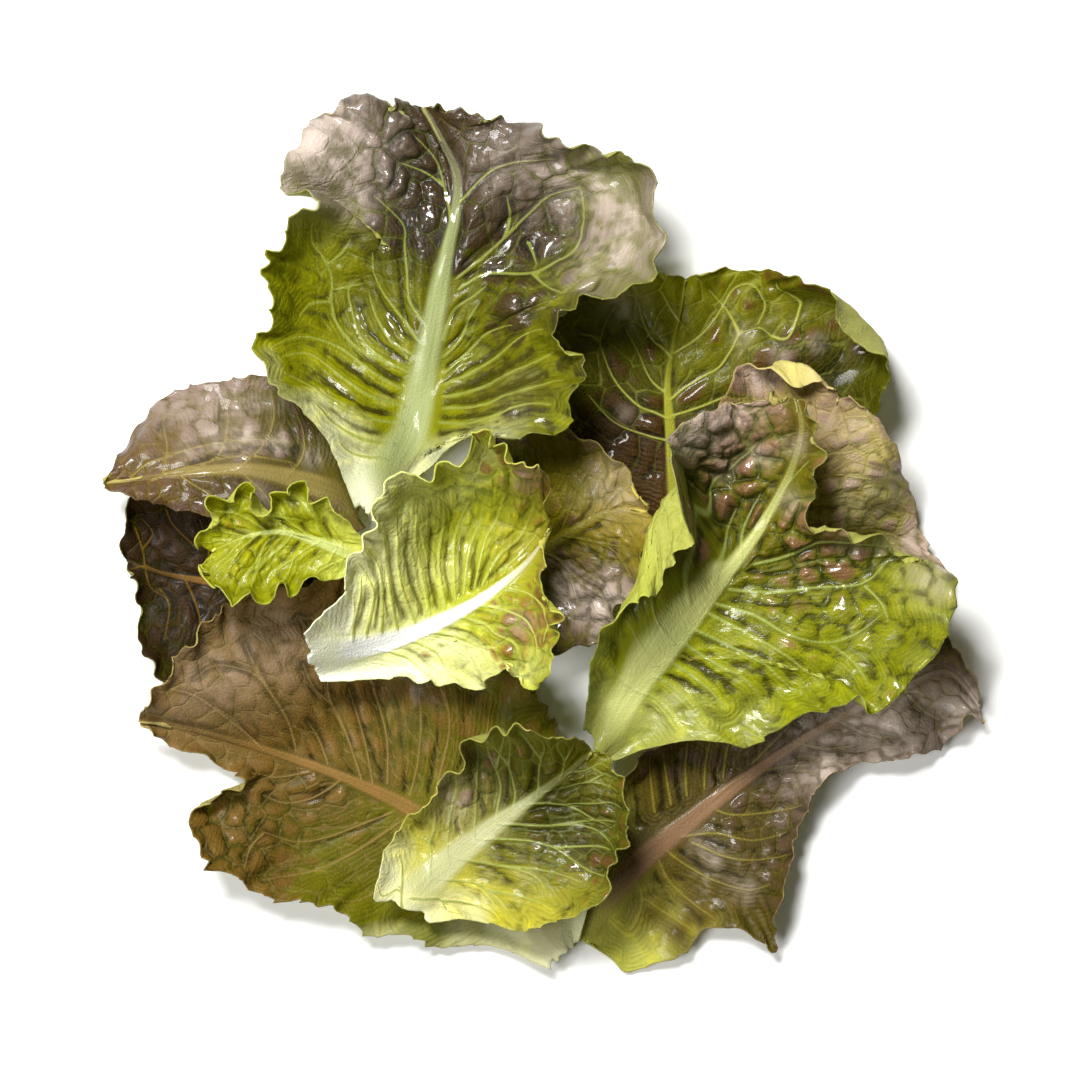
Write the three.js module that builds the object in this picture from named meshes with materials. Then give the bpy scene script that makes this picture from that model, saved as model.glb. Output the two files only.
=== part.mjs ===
// Red romaine lettuce opened out flat: twelve loose leaves laid over each other as a rosette.
// Millimetres, +Z up, origin under the middle of the rosette, +Y towards the tip of the top leaf.
import * as THREE from "three";

// Driving dimensions.
const SQUARE = 0.4;             // side of one square of the drawing grid that the plan points lie on
const MIDDLE = [544, 535];  // grid point above the origin, x to the right and y downwards
const BLADE = 0.9;              // thickness of a leaf blade
const GAP = 1.2;                // clearance between a leaf and what lies under it
const CELL = 2;                 // cell of the height map of the pile
const HALF_MAP = 210;           // half the side of that map
const BRIDGE = 8;               // cells that a leaf bridges beyond what lies under it
const SOFTEN = 4;               // radius in cells of each of two box averages, at most half of BRIDGE
const SETTLE = 1;               // height at which a leaf's own form eases onto its bed
const EDGE_STRIP = 0.3;         // share of each half blade that can turn up or down at the margin
const BEND_SHARE = 0.4;         // share of that strip that bends, the rest of it being straight
const VEIN_LEAN = 0.6;          // how far the margin's share of length runs ahead of the rib's half way up
const VEIN_BOW = 0.12;          // how far the side veins bow to the tip, as a share of the half width
const PLEAT = 1.1;              // height of the folds along the side veins, one for every two rows of the grid
const SWELL = 2.5;              // height of the broad unevenness of every blade

// Each leaf, from the lowest to the topmost. rib, left and right run from the torn base to the tip in grid
// squares. arch: height of the rib over its bed, evenly spaced from base to tip. rise: height gained from the
// rib to the left and the right margin. turn: angle of the margin strip, evenly spaced from base to tip, in
// degrees, upwards positive. strip: share of the half blade in that strip, where it isn't EDGE_STRIP.
// ruffle: height of the waves on the margins, and their number on each side. dents: round hollows and swells
// as grid point, radius in squares and height in millimetres. pleat: share of PLEAT.
// ribWidth and ribDepth: at the base. rests: stretch of the rib, as shares of its length, flat on the surface.
const LEAVES = [
  {
    name: "leaf_left_low",
    colour: 0x3a3414,
    rib: [[335, 600], [270, 590], [205, 582], [160, 574], [122, 562]],
    left: [
      [332, 628], [300, 655], [262, 672], [225, 684], [190, 690], [165, 686], [150, 668], [138, 656],
      [133, 625], [130, 605], [135, 590], [124, 574],
    ],
    right: [
      [338, 572], [318, 535], [285, 512], [250, 500], [205, 492], [165, 492], [140, 495], [127, 502],
      [121, 530], [116, 552],
    ],
    arch: [0, 0, 0, 3],
    rise: [4, 4],
    turn: { left: [0, 30, 30, 10], right: [0, 20, 20, 10] },
    ruffle: [4, 4],
    dents: [
      [180, 640, 30, 4], [200, 530, 30, 3],
    ],
    pleat: 0.8,
    ribWidth: 14,
    ribDepth: 3.5,
    rests: [0.2, 0.75],
    grid: [22, 5],
    phase: 0.3,
  },
  {
    name: "leaf_upper_right",
    colour: 0x6a7420,
    rib: [[690, 572], [678, 505], [672, 440], [669, 385], [676, 340], [684, 303], [688, 276]],
    left: [
      [672, 562], [632, 528], [598, 490], [572, 450], [556, 410], [548, 368], [552, 330], [572, 300],
      [608, 282], [640, 273], [672, 271],
    ],
    right: [
      [706, 562], [762, 512], [822, 470], [862, 432], [880, 400], [888, 375], [884, 350], [862, 326],
      [846, 308], [828, 289], [800, 275], [768, 268], [735, 264], [702, 271],
    ],
    arch: [0, 0, 0, 5],
    rise: [7, 6],
    turn: { left: [10, 30, 20, 10, 0, -20, 0], right: [0, 20, 70, 120, 20, 0, -10] },
    strip: { left: 0.3, right: 0.26 },
    ruffle: [6, 4],
    dents: [
      [640, 330, 40, -4], [810, 345, 26, 7], [720, 310, 40, -2],
    ],
    pleat: 0.7,
    ribWidth: 12,
    ribDepth: 4,
    rests: [0.15, 0.8],
    grid: [26, 6],
    phase: 1.9,
  },
  {
    name: "leaf_lower_right",
    colour: 0x5a3c2c,
    rib: [
      [578, 940], [622, 884], [680, 834], [735, 790], [792, 750], [850, 716], [908, 688], [952, 672],
      [984, 706],
    ],
    left: [
      [563, 926], [580, 870], [604, 812], [640, 765], [690, 728], [745, 706], [800, 690], [850, 672],
      [895, 652], [930, 634], [948, 630], [966, 655], [982, 685],
    ],
    right: [
      [592, 954], [612, 966], [628, 979], [655, 970], [684, 960], [708, 936], [740, 932], [762, 944],
      [779, 959], [779, 918], [790, 880], [796, 848], [806, 822], [824, 786], [858, 770], [900, 764],
      [942, 750], [962, 736], [974, 722], [988, 728],
    ],
    arch: [0, 0, 0, 0, 6],
    rise: [5, 4],
    turn: { left: [0, 30, 30, 20, -20, 90], right: [0, 10, 40, 30, -20, 60] },
    ruffle: [6, 6],
    dents: [
      [740, 860, 36, 5], [650, 900, 40, -3], [900, 720, 30, 4],
    ],
    pleat: 1.0,
    ribWidth: 18,
    ribDepth: 4,
    rests: [0.2, 0.75],
    grid: [30, 6],
    phase: 4.1,
  },
  {
    name: "leaf_lower_left",
    colour: 0x5e4a26,
    rib: [
      [565, 962], [520, 905], [465, 855], [410, 814], [350, 786], [290, 763], [228, 743], [176, 728],
      [136, 722],
    ],
    left: [
      [550, 974], [512, 957], [478, 950], [438, 952], [402, 939], [366, 934], [334, 910], [300, 903],
      [262, 898], [222, 871], [197, 850], [189, 825], [200, 806], [232, 792], [248, 781], [216, 769],
      [180, 752], [144, 731],
    ],
    right: [
      [582, 946], [592, 880], [588, 820], [566, 760], [540, 705], [508, 660], [455, 622], [402, 594],
      [352, 574], [310, 586], [272, 588], [240, 602], [212, 615], [190, 640], [175, 665], [158, 690],
      [142, 710],
    ],
    arch: [0, 0, 0, 0, 3],
    rise: [4, 6],
    turn: { left: [0, 20, 40, 10, 0], right: [0, 10, 20, 30, 10] },
    ruffle: [5, 6],
    dents: [
      [260, 660, 50, 5], [240, 840, 36, 5], [360, 690, 50, -3], [440, 700, 40, 4],
    ],
    pleat: 1.0,
    ribWidth: 20,
    ribDepth: 4,
    rests: [0.3, 0.8],
    grid: [30, 6],
    phase: 2.6,
  },
  {
    name: "leaf_left",
    colour: 0x5b4a2c,
    rib: [[355, 500], [305, 482], [250, 470], [195, 472], [145, 478], [101, 483]],
    left: [
      [362, 526], [330, 540], [290, 536], [250, 525], [215, 516], [185, 510], [150, 500], [125, 493],
      [105, 488],
    ],
    right: [
      [348, 468], [334, 440], [312, 415], [290, 395], [268, 379], [240, 377], [212, 382], [180, 388],
      [152, 402], [135, 425], [118, 455], [101, 478],
    ],
    arch: [1, 4, 6, 3],
    rise: [3, 2],
    turn: { left: [0, 10, -30, 0], right: [0, -20, -50, -30] },
    strip: { left: 0.3, right: 0.5 },
    ruffle: [3, 3],
    dents: [
      [255, 440, 30, 5], [180, 420, 30, -2],
    ],
    pleat: 0.6,
    ribWidth: 16,
    ribDepth: 3.5,
    grid: [22, 5],
    phase: 5.2,
  },
  {
    name: "leaf_right_back",
    colour: 0x6b5e36,
    rib: [[665, 655], [702, 600], [740, 548], [778, 498], [808, 458], [828, 424], [838, 400]],
    left: [
      [652, 640], [662, 560], [690, 480], [716, 420], [730, 385], [742, 366], [772, 368], [802, 372],
      [820, 380], [832, 388],
    ],
    right: [
      [680, 668], [740, 668], [800, 662], [862, 650], [918, 618], [950, 575], [936, 550], [922, 525],
      [918, 500], [905, 480], [895, 455], [880, 430], [862, 408], [846, 398],
    ],
    arch: [1, 2, 4, 3],
    rise: [4, 3],
    turn: { left: [0, 0, 0, 20, 150, 60], right: [0, 0, -10, -40, -20] },
    ruffle: [4, 4],
    dents: [
      [860, 510, 30, 4], [900, 560, 30, -2],
    ],
    pleat: 0.7,
    ribWidth: 16,
    ribDepth: 3,
    grid: [24, 5],
    phase: 0.9,
  },
  {
    name: "leaf_centre_dark",
    colour: 0x433a18,
    rib: [[478, 600], [512, 575], [548, 548], [588, 522], [622, 510], [648, 512]],
    left: [
      [468, 572], [474, 520], [486, 462], [500, 438], [530, 431], [562, 429], [588, 438], [610, 457],
      [632, 478], [650, 502],
    ],
    right: [
      [490, 622], [518, 645], [548, 652], [572, 646], [592, 646], [606, 630], [616, 610], [634, 598],
      [642, 575], [643, 552], [652, 532], [653, 520],
    ],
    arch: [1, 2, 3, 3],
    rise: [3, 4],
    turn: { left: [0, 20, 20, 0], right: [0, 20, 40, 0] },
    ruffle: [4, 4],
    dents: [
      [590, 590, 26, 5], [570, 480, 30, -2],
    ],
    pleat: 0.8,
    ribWidth: 12,
    ribDepth: 3,
    grid: [20, 5],
    phase: 3.3,
  },
  {
    name: "leaf_right",
    colour: 0x9aa83c,
    rib: [
      [598, 752], [625, 702], [656, 664], [690, 622], [718, 587], [742, 556], [766, 518], [788, 474],
      [798, 434], [792, 402],
    ],
    left: [
      [583, 732], [590, 700], [593, 665], [602, 632], [622, 608], [634, 575], [640, 535], [654, 508],
      [667, 488], [661, 455], [668, 435], [690, 416], [715, 410], [745, 398], [778, 399],
    ],
    right: [
      [614, 765], [650, 749], [690, 740], [722, 742], [748, 746], [778, 726], [804, 712], [832, 706],
      [852, 696], [876, 709], [904, 682], [926, 658], [942, 630], [950, 600], [951, 573], [918, 560],
      [880, 540], [838, 533], [806, 516], [812, 486], [819, 456], [811, 430], [804, 404],
    ],
    arch: [0, 2, 6, 12],
    rise: [6, 5],
    turn: { left: [10, 30, 100, 170, 165, 40, 10, -20, -30, -20], right: [0, 20, 40, 30, 0, 10, 20, -20, -40] },
    strip: { left: 0.68, right: 0.3 },
    ruffle: [6, 6],
    dents: [
      [740, 440, 34, -5], [850, 570, 36, -5], [710, 545, 26, -4], [700, 420, 30, 4], [915, 610, 36, 5],
      [800, 640, 30, 4], [760, 700, 30, -3],
    ],
    pleat: 1.3,
    ribWidth: 20,
    ribDepth: 4.5,
    grid: [34, 7],
    phase: 1.2,
  },
  {
    name: "leaf_top",
    colour: 0x8c9440,
    rib: [
      [374, 518], [392, 470], [410, 430], [420, 386], [428, 340], [438, 290], [447, 250], [455, 214],
      [456, 175], [440, 138], [422, 104],
    ],
    left: [
      [356, 506], [342, 470], [322, 432], [298, 405], [274, 385], [258, 356], [264, 328], [270, 300],
      [270, 262], [284, 232], [306, 212], [322, 202], [290, 194], [282, 172], [300, 142], [314, 116],
      [336, 110], [355, 95], [382, 104], [408, 102],
    ],
    right: [
      [390, 512], [408, 488], [432, 462], [458, 442], [490, 434], [520, 437], [548, 432], [572, 428],
      [574, 398], [583, 368], [568, 350], [548, 336], [562, 318], [582, 302], [616, 297], [642, 288],
      [658, 265], [661, 236], [654, 205], [648, 172], [634, 158], [600, 156], [562, 141], [530, 123],
      [498, 115], [462, 114], [436, 105],
    ],
    arch: [0, 3, 9, 16, 12],
    rise: [8, 8],
    turn: { left: [0, 30, 50, 40, -20, -50, -50], right: [0, 15, 60, 70, 20, -40, -50] },
    ruffle: [7, 7],
    dents: [
      [430, 180, 40, -6], [545, 245, 40, -6], [345, 290, 42, -6], [505, 375, 36, -4], [318, 150, 36, 5],
      [625, 215, 36, 6], [510, 305, 24, 5], [500, 150, 40, 3], [350, 400, 30, 3],
    ],
    pleat: 1.0,
    ribWidth: 26,
    ribDepth: 5,
    grid: [38, 7],
    phase: 0,
  },
  {
    name: "leaf_small_frilly",
    colour: 0xa8c044,
    rib: [[364, 556], [345, 551], [318, 541], [285, 532], [250, 536], [214, 552]],
    left: [
      [354, 572], [332, 580], [310, 585], [290, 590], [268, 595], [245, 595], [226, 592], [211, 584],
      [205, 568],
    ],
    right: [
      [371, 544], [354, 530], [342, 514], [322, 502], [304, 488], [288, 490], [278, 504], [266, 508],
      [254, 492], [236, 489], [218, 502], [208, 522], [204, 545],
    ],
    arch: [0, 2, 3, 2],
    rise: [5, 6],
    turn: { left: [20, 60, 60, 40], right: [20, 60, 60, 40] },
    ruffle: [5, 5],
    dents: [
      [240, 560, 24, 4], [300, 510, 24, 4],
    ],
    pleat: 1.0,
    ribWidth: 8,
    ribDepth: 2.5,
    grid: [22, 5],
    phase: 2.2,
  },
  {
    name: "leaf_centre",
    colour: 0xb4c850,
    rib: [
      [308, 657], [350, 652], [400, 640], [440, 622], [480, 600], [518, 570], [540, 545], [550, 528],
    ],
    left: [
      [304, 634], [328, 612], [350, 594], [348, 566], [366, 546], [378, 520], [388, 486], [416, 481],
      [446, 466], [464, 452], [474, 430], [494, 442], [516, 458], [536, 473], [549, 496], [551, 515],
    ],
    right: [
      [318, 682], [352, 681], [400, 678], [436, 683], [468, 687], [492, 670], [510, 662], [524, 687],
      [548, 682], [557, 655], [551, 636], [555, 612], [544, 590], [538, 570], [546, 545],
    ],
    arch: [0, 1, 4, 7],
    rise: [5, 5],
    turn: { left: [10, 40, 60, 50, 35, 10], right: [10, 20, 40, 50, 70, 30] },
    ruffle: [6, 6],
    dents: [
      [440, 540, 30, -4], [520, 480, 26, 5], [520, 620, 24, 4], [400, 520, 30, 3],
    ],
    pleat: 1.6,
    ribWidth: 18,
    ribDepth: 4.5,
    grid: [30, 6],
    phase: 4.4,
  },
  {
    name: "leaf_lower_centre",
    colour: 0x97a344,
    rib: [[400, 912], [440, 872], [478, 842], [512, 816], [542, 793], [570, 771], [592, 752]],
    left: [
      [374, 900], [379, 876], [386, 852], [404, 832], [428, 806], [438, 785], [458, 772], [462, 748],
      [478, 734], [502, 728], [528, 725], [555, 729], [580, 738],
    ],
    right: [
      [430, 924], [470, 921], [510, 929], [548, 925], [574, 911], [598, 904], [611, 882], [610, 862],
      [624, 843], [630, 820], [625, 792], [614, 768], [600, 750],
    ],
    arch: [0, 2, 5, 6],
    rise: [7, 7],
    turn: { left: [10, 50, 80, 20, -40], right: [10, 40, 60, 30, -20] },
    ruffle: [4, 5],
    dents: [
      [570, 820, 32, -5], [470, 780, 26, 4], [590, 880, 26, 4], [540, 750, 24, 4],
    ],
    pleat: 0.9,
    ribWidth: 22,
    ribDepth: 4.5,
    grid: [26, 6],
    phase: 5.8,
  },
];

// Smooth curve through grid points, as a function of the share of its length, in millimetres.
function curveThrough(points) {
  const nodes = points.map(([x, y]) => [(x - MIDDLE[0]) * SQUARE, (MIDDLE[1] - y) * SQUARE]);
  const dense = [];
  const steps = 12;
  for (let k = 0; k + 1 < nodes.length; k += 1) {
    const a = nodes[Math.max(k - 1, 0)];
    const b = nodes[k];
    const c = nodes[k + 1];
    const d = nodes[Math.min(k + 2, nodes.length - 1)];
    for (let i = 0; i < steps; i += 1) {
      const t = i / steps;
      dense.push([0, 1].map((n) => catmullRom(a[n], b[n], c[n], d[n], t)));
    }
  }
  dense.push(nodes[nodes.length - 1]);
  const along = [0];
  for (let i = 1; i < dense.length; i += 1) {
    const step = Math.hypot(dense[i][0] - dense[i - 1][0], dense[i][1] - dense[i - 1][1]);
    along.push(along[i - 1] + step);
  }
  const total = along[along.length - 1];
  const at = (share) => {
    const want = Math.min(Math.max(share, 0), 1) * total;
    let i = 1;
    while (i < along.length - 1 && along[i] < want) i += 1;
    const t = (want - along[i - 1]) / (along[i] - along[i - 1]);
    return [0, 1].map((n) => dense[i - 1][n] + t * (dense[i][n] - dense[i - 1][n]));
  };
  return { at, total };
}

function catmullRom(a, b, c, d, t) {
  const linear = 2 * b + (c - a) * t;
  const square = (2 * a - 5 * b + 4 * c - d) * t * t;
  const cube = (3 * b - a - 3 * c + d) * t * t * t;
  return 0.5 * (linear + square + cube);
}

// Value at a share of the length, of numbers spaced evenly along it, eased between them.
function along(values, share) {
  const place = Math.min(Math.max(share, 0), 0.999999) * (values.length - 1);
  const k = Math.floor(place);
  const t = ease(place - k);
  return values[k] + (values[k + 1] - values[k]) * t;
}

const ease = (t) => t * t * (3 - 2 * t);
const clamp01 = (t) => Math.min(Math.max(t, 0), 1);

// A leaf's own height eases out to nothing and never goes under its bed.
const settled = (h) => (h >= SETTLE ? h : SETTLE * Math.exp((h - SETTLE) / SETTLE));

// Height map of the pile, one number for each cell: the top of what has been laid so far.
const CELLS = Math.round((2 * HALF_MAP) / CELL);
const pile = new Float64Array(CELLS * CELLS);
const cellOf = (x) => Math.min(Math.max(Math.floor((x + HALF_MAP) / CELL), 0), CELLS - 1);

function raisePile(x, y, z) {
  const i = cellOf(y) * CELLS + cellOf(x);
  if (z > pile[i]) pile[i] = z;
}

// One pass along rows or columns: the largest or the mean value within a radius in cells.
function pass(map, radius, step, line, mean) {
  const out = new Float64Array(map.length);
  for (let r = 0; r < CELLS; r += 1) {
    for (let c = 0; c < CELLS; c += 1) {
      let value = 0;
      for (let k = -radius; k <= radius; k += 1) {
        const at = Math.min(Math.max(c + k, 0), CELLS - 1);
        const next = map[r * line + at * step];
        value = mean ? value + next : Math.max(value, next);
      }
      out[r * line + c * step] = mean ? value / (2 * radius + 1) : value;
    }
  }
  return out;
}

// The bed of the next leaf: a smooth sheet that nowhere lies under the pile.
function bedOverPile() {
  let map = pile;
  for (const [radius, mean] of [[BRIDGE, false], [SOFTEN, true], [SOFTEN, true]]) {
    map = pass(pass(map, radius, 1, CELLS, mean), radius, CELLS, 1, mean);
  }
  return (x, y) => {
    const cx = Math.min(Math.max((x + HALF_MAP) / CELL - 0.5, 0), CELLS - 1.001);
    const cy = Math.min(Math.max((y + HALF_MAP) / CELL - 0.5, 0), CELLS - 1.001);
    const i = Math.floor(cy) * CELLS + Math.floor(cx);
    const tx = cx - Math.floor(cx);
    const ty = cy - Math.floor(cy);
    const low = map[i] * (1 - tx) + map[i + 1] * tx;
    const high = map[i + CELLS] * (1 - tx) + map[i + CELLS + 1] * tx;
    return low * (1 - ty) + high * ty;
  };
}

// Upper face of a leaf at u from base to tip and v from -1 at the left margin to 1 at the right one.
function upperFace(leaf, bed) {
  const rib = curveThrough(leaf.rib);
  const margins = { left: curveThrough(leaf.left), right: curveThrough(leaf.right) };
  const depthAt = (u) => leaf.ribDepth * (1 - 0.85 * u);
  const halfRibAt = (u) => 0.5 * leaf.ribWidth * (1 - 0.92 * Math.sqrt(u));
  const widthAt = (u, side) => {
    const r = rib.at(u);
    const m = margins[side].at(u + VEIN_LEAN * u * (1 - u));
    return Math.hypot(m[0] - r[0], m[1] - r[1]);
  };
  const point = (u, v) => {
    const side = v < 0 ? "left" : "right";
    const w = Math.abs(v);
    const r = rib.at(u);
    const m = margins[side].at(u + VEIN_LEAN * u * (1 - u));
    const width = Math.hypot(m[0] - r[0], m[1] - r[1]);
    const share = (leaf.strip || { left: EDGE_STRIP, right: EDGE_STRIP })[side];
    const full = (along(leaf.turn[side], u) * Math.PI) / 180;
    const turn = Math.abs(full) < 0.01 ? 0.01 : full;
    const radius = (BEND_SHARE * share * width) / turn;
    const straight = (1 - BEND_SHARE) * share * width;
    const quarter = Math.min(Math.abs(turn), Math.PI / 2);
    const inner = width - Math.abs(radius) * Math.sin(quarter) - straight * Math.cos(quarter);
    const outer = clamp01((w - 1 + share) / share);
    const bent = clamp01(outer / BEND_SHARE) * turn;
    const past = Math.max(outer - BEND_SHARE, 0) * share * width;
    const flat = (Math.min(w, 1 - share) / (1 - share)) * inner;
    const reach = flat + radius * Math.sin(bent) + past * Math.cos(turn);
    const curl = radius * (1 - Math.cos(bent)) + past * Math.sin(turn);
    const bow = VEIN_BOW * width * 4 * w * (1 - w);
    const a = rib.at(u - 0.01);
    const b = rib.at(u + 0.01);
    const run = Math.hypot(b[0] - a[0], b[1] - a[1]);
    const x = r[0] + ((m[0] - r[0]) * reach) / width + ((b[0] - a[0]) * bow) / run;
    const y = r[1] + ((m[1] - r[1]) * reach) / width + ((b[1] - a[1]) * bow) / run;
    const rise = leaf.rise[v < 0 ? 0 : 1] * w * w * Math.sin(Math.PI * clamp01(u * 0.9 + 0.05));
    const shift = leaf.phase + (v < 0 ? 0 : 2) + 1.5 * Math.sin(5 * u);
    const wave = Math.sin(2 * Math.PI * leaf.ruffle[1] * u + shift);
    const waves = leaf.ruffle[0] * w ** 3 * ease(clamp01(u * 2.5)) * (0.5 + 0.5 * wave);
    const foldShare = ease(clamp01(w * 4)) * (1 - 0.6 * w);
    const folds = Math.cos(Math.PI * leaf.grid[0] * u) * foldShare * PLEAT * leaf.pleat;
    const swell = SWELL * (1 + Math.sin(x / 9 + leaf.phase) * Math.sin(y / 11 + 2 * leaf.phase)) * w;
    const dents = leaf.dents.reduce((sum, [dx, dy, radius, height]) => {
      const gap = Math.hypot(x / SQUARE + MIDDLE[0] - dx, MIDDLE[1] - y / SQUARE - dy) / radius;
      return sum + height * Math.exp(-gap * gap);
    }, 0);
    const own = settled(along(leaf.arch, u) + rise + waves + curl + folds + swell + dents);
    const keel = (depthAt(u) - BLADE) * (1 - ease(clamp01(w * 1.4)));
    return new THREE.Vector3(x, y, bed(x, y) + (leaf.rests ? 0 : GAP) + BLADE + Math.max(keel, 0) + own);
  };
  return { point, depthAt, halfRibAt, widthAt };
}

// Closed solid of a leaf: upper and lower face on one grid, split into triangles alike, and a rim round them.
function leafGeometry(leaf, bed) {
  const [rows, half] = leaf.grid;
  const columns = 2 * half;
  const face = upperFace(leaf, bed);
  const upper = [];
  for (let i = 0; i <= rows; i += 1) {
    const u = i / rows;
    upper.push([]);
    for (let j = 0; j <= columns; j += 1) {
      const k = Math.abs(j - half);
      const side = j < half ? "left" : "right";
      const ribShare = Math.min(face.halfRibAt(u) / face.widthAt(u, side), 0.6);
      const share = k === 0 ? 0 : ribShare + ((1 - ribShare) * (k - 1)) / (half - 1);
      upper[i].push(face.point(u, j < half ? -share : share));
    }
  }
  const lower = upper.map((row, i) =>
    row.map((p, j) => {
      const along = upper[Math.min(i + 1, rows)][j].clone().sub(upper[Math.max(i - 1, 0)][j]);
      const across = row[Math.min(j + 1, columns)].clone().sub(row[Math.max(j - 1, 0)]);
      const normal = across.cross(along).normalize();
      const q = p.clone().addScaledVector(normal, -BLADE);
      const k = Math.abs(j - half);
      const keel = Math.max(face.depthAt(i / rows) - BLADE, 0);
      q.z -= keel * [1, 0.75, 0.1][Math.min(k, 2)] * (k > 2 ? 0 : 1);
      if (leaf.rests && i / rows >= leaf.rests[0] && i / rows <= leaf.rests[1] && k <= 1) q.z = 0;
      q.z = Math.max(q.z, 0);
      return q;
    }),
  );
  raiseByFace(upper);
  raiseByFace(lower);
  const at = (i, j) => i * (columns + 1) + j;
  const count = (rows + 1) * (columns + 1);
  const vertices = [...upper.flat(), ...lower.flat()].flatMap((p) => [p.x, p.y, p.z]);
  const faces = [];
  for (let i = 0; i < rows; i += 1) {
    for (let j = 0; j < columns; j += 1) {
      const [a, b, c, d] = [at(i, j), at(i, j + 1), at(i + 1, j + 1), at(i + 1, j)];
      faces.push(a, b, c, a, c, d);
      faces.push(count + a, count + c, count + b, count + a, count + d, count + c);
    }
  }
  const loop = [];
  for (let j = 0; j < columns; j += 1) loop.push(at(0, j));
  for (let i = 0; i < rows; i += 1) loop.push(at(i, columns));
  for (let j = columns; j > 0; j -= 1) loop.push(at(rows, j));
  for (let i = rows; i > 0; i -= 1) loop.push(at(i, 0));
  loop.forEach((a, n) => {
    const b = loop[(n + 1) % loop.length];
    faces.push(a, count + a, count + b, a, count + b, b);
  });
  const geometry = new THREE.BufferGeometry();
  geometry.setAttribute("position", new THREE.Float32BufferAttribute(vertices, 3));
  geometry.setIndex(faces);
  geometry.computeVertexNormals();
  return geometry;
}

// Enters a face of a leaf into the height map of the pile.
function raiseByFace(face) {
  for (let i = 0; i + 1 < face.length; i += 1) {
    for (let j = 0; j + 1 < face[i].length; j += 1) {
      const corners = [face[i][j], face[i][j + 1], face[i + 1][j + 1], face[i + 1][j]];
      const steps = Math.ceil(Math.max(corners[0].distanceTo(corners[2]), corners[1].distanceTo(corners[3])));
      for (let m = 0; m <= steps; m += 1) {
        for (let n = 0; n <= steps; n += 1) {
          const s = m / steps;
          const t = n / steps;
          const p = corners[0].clone().lerp(corners[1], t);
          const q = corners[3].clone().lerp(corners[2], t);
          p.lerp(q, s);
          raisePile(p.x, p.y, p.z);
        }
      }
    }
  }
}

const head = new THREE.Group();
head.name = "red_romaine";
for (const leaf of LEAVES) {
  const material = new THREE.MeshStandardMaterial({ color: leaf.colour, roughness: 0.45, metalness: 0 });
  const mesh = new THREE.Mesh(leafGeometry(leaf, bedOverPile()), material);
  mesh.name = leaf.name;
  head.add(mesh);
}

export default head;
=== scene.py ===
# %% [markdown]
# # Red romaine lettuce, opened out as a rosette
#
# Twelve leaves lie over each other on a pale surface, seen from straight above. Each leaf is one sheet
# with an upper and a lower face, grown on a grid that runs from the torn base to the tip (u, 0 to 1) and
# from the left margin over the rib to the right margin (v, -1 to 1). The packed model holds the same
# leaves with few faces; here each is made again finely, with its blisters, frills, teeth and veins.

import math

import bpy
import numpy as np
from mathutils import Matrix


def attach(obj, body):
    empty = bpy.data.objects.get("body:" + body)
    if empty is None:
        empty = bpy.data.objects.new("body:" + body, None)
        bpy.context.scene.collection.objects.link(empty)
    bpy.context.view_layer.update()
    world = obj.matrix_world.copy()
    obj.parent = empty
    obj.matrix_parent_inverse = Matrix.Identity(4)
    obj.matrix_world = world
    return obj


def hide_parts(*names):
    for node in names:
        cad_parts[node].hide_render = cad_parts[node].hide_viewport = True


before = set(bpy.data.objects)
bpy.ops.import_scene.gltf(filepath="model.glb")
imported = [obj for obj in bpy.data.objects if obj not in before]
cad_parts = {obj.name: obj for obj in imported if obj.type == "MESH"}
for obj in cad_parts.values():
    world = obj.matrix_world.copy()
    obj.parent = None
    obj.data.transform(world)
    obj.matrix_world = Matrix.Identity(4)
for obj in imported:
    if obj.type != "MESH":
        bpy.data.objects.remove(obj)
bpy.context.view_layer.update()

print("nodes in the frame:", sorted(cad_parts))

# %% [markdown]
# ## Dimensions
#
# Numbers for all leaves, in millimetres where nothing else is said. Those up to SWELL are what the packed
# model was built with. Plan points lie on a grid of 0.4 mm drawing squares, x to the right, y downwards.

# %% Sizes and shares
MM = 0.001                   # metres in a millimetre
SQUARE = 0.4                 # side of a drawing square
MIDDLE = (544, 535)          # drawing point that becomes the origin
CENTRE = 540                 # middle of the drawing, both ways
BLADE = 0.9                  # thickness of the blade
GAP = 1.2                    # room between a leaf and the pile under it
CELL = 2.0                   # side of a cell of the height map
HALF_MAP = 210.0             # half the width of the height map
BRIDGE = 8                   # cells by which the pile is widened to make a bed
SOFTEN = 4                   # cells over which the bed is averaged, twice
SETTLE = 1.0                 # height below which a leaf sinks ever less towards its bed
EDGE_STRIP = 0.3             # share of a half leaf's width that turns as its margin strip
BEND_SHARE = 0.4             # share of that strip that holds the bend
VEIN_LEAN = 0.6              # lean of the grid's cross lines towards the tip
VEIN_BOW = 0.12              # bow of these lines, as a share of the width
SWELL = 2.5                  # height of the broad swells
TOOTH = 7.0                  # usual distance between teeth
LOBE, LOBELET = 11.0, 4.0    # usual lengths of the margin's lobes, large and small
FRILL = 2.6                  # length of a frill's wave, over two pi
TEAR = 3.0                   # unevenness of the torn base
BULGE = 3.4                  # distance from a vein over which the blade swells up
GROOVE = 0.95                # half width of a furrow
PLEAT = 4.4                  # width of the pleats along side veins
FOLD, CRUMB = 7.5, 3.4       # widths of the crumpled folds, large and small
SMALLER = 0.42               # width of the small blisters, as a share of the large ones
VEIN_ENDS = (0.04, 0.94)     # between which u the side veins leave the rib
FURROW_ENDS = (0.05, 0.75)   # the same for furrows
RIB_TAPER = 0.92             # share of its width that the rib loses towards the tip
KEEL_TAPER = 0.85            # share of its depth that it loses
LOWEST = 0.15                # height of the lowest points over the ground
THINNEST = 0.3               # least thickness where the ground presses the blade up
FAR = 500.0                  # in drawing squares, keeps drawn lines off the outermost margin


def path(text):
    """Rows of numbers from text: commas within a row, blanks between rows."""
    return [[float(c) for c in row.split(",")] for row in text.split()]


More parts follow.
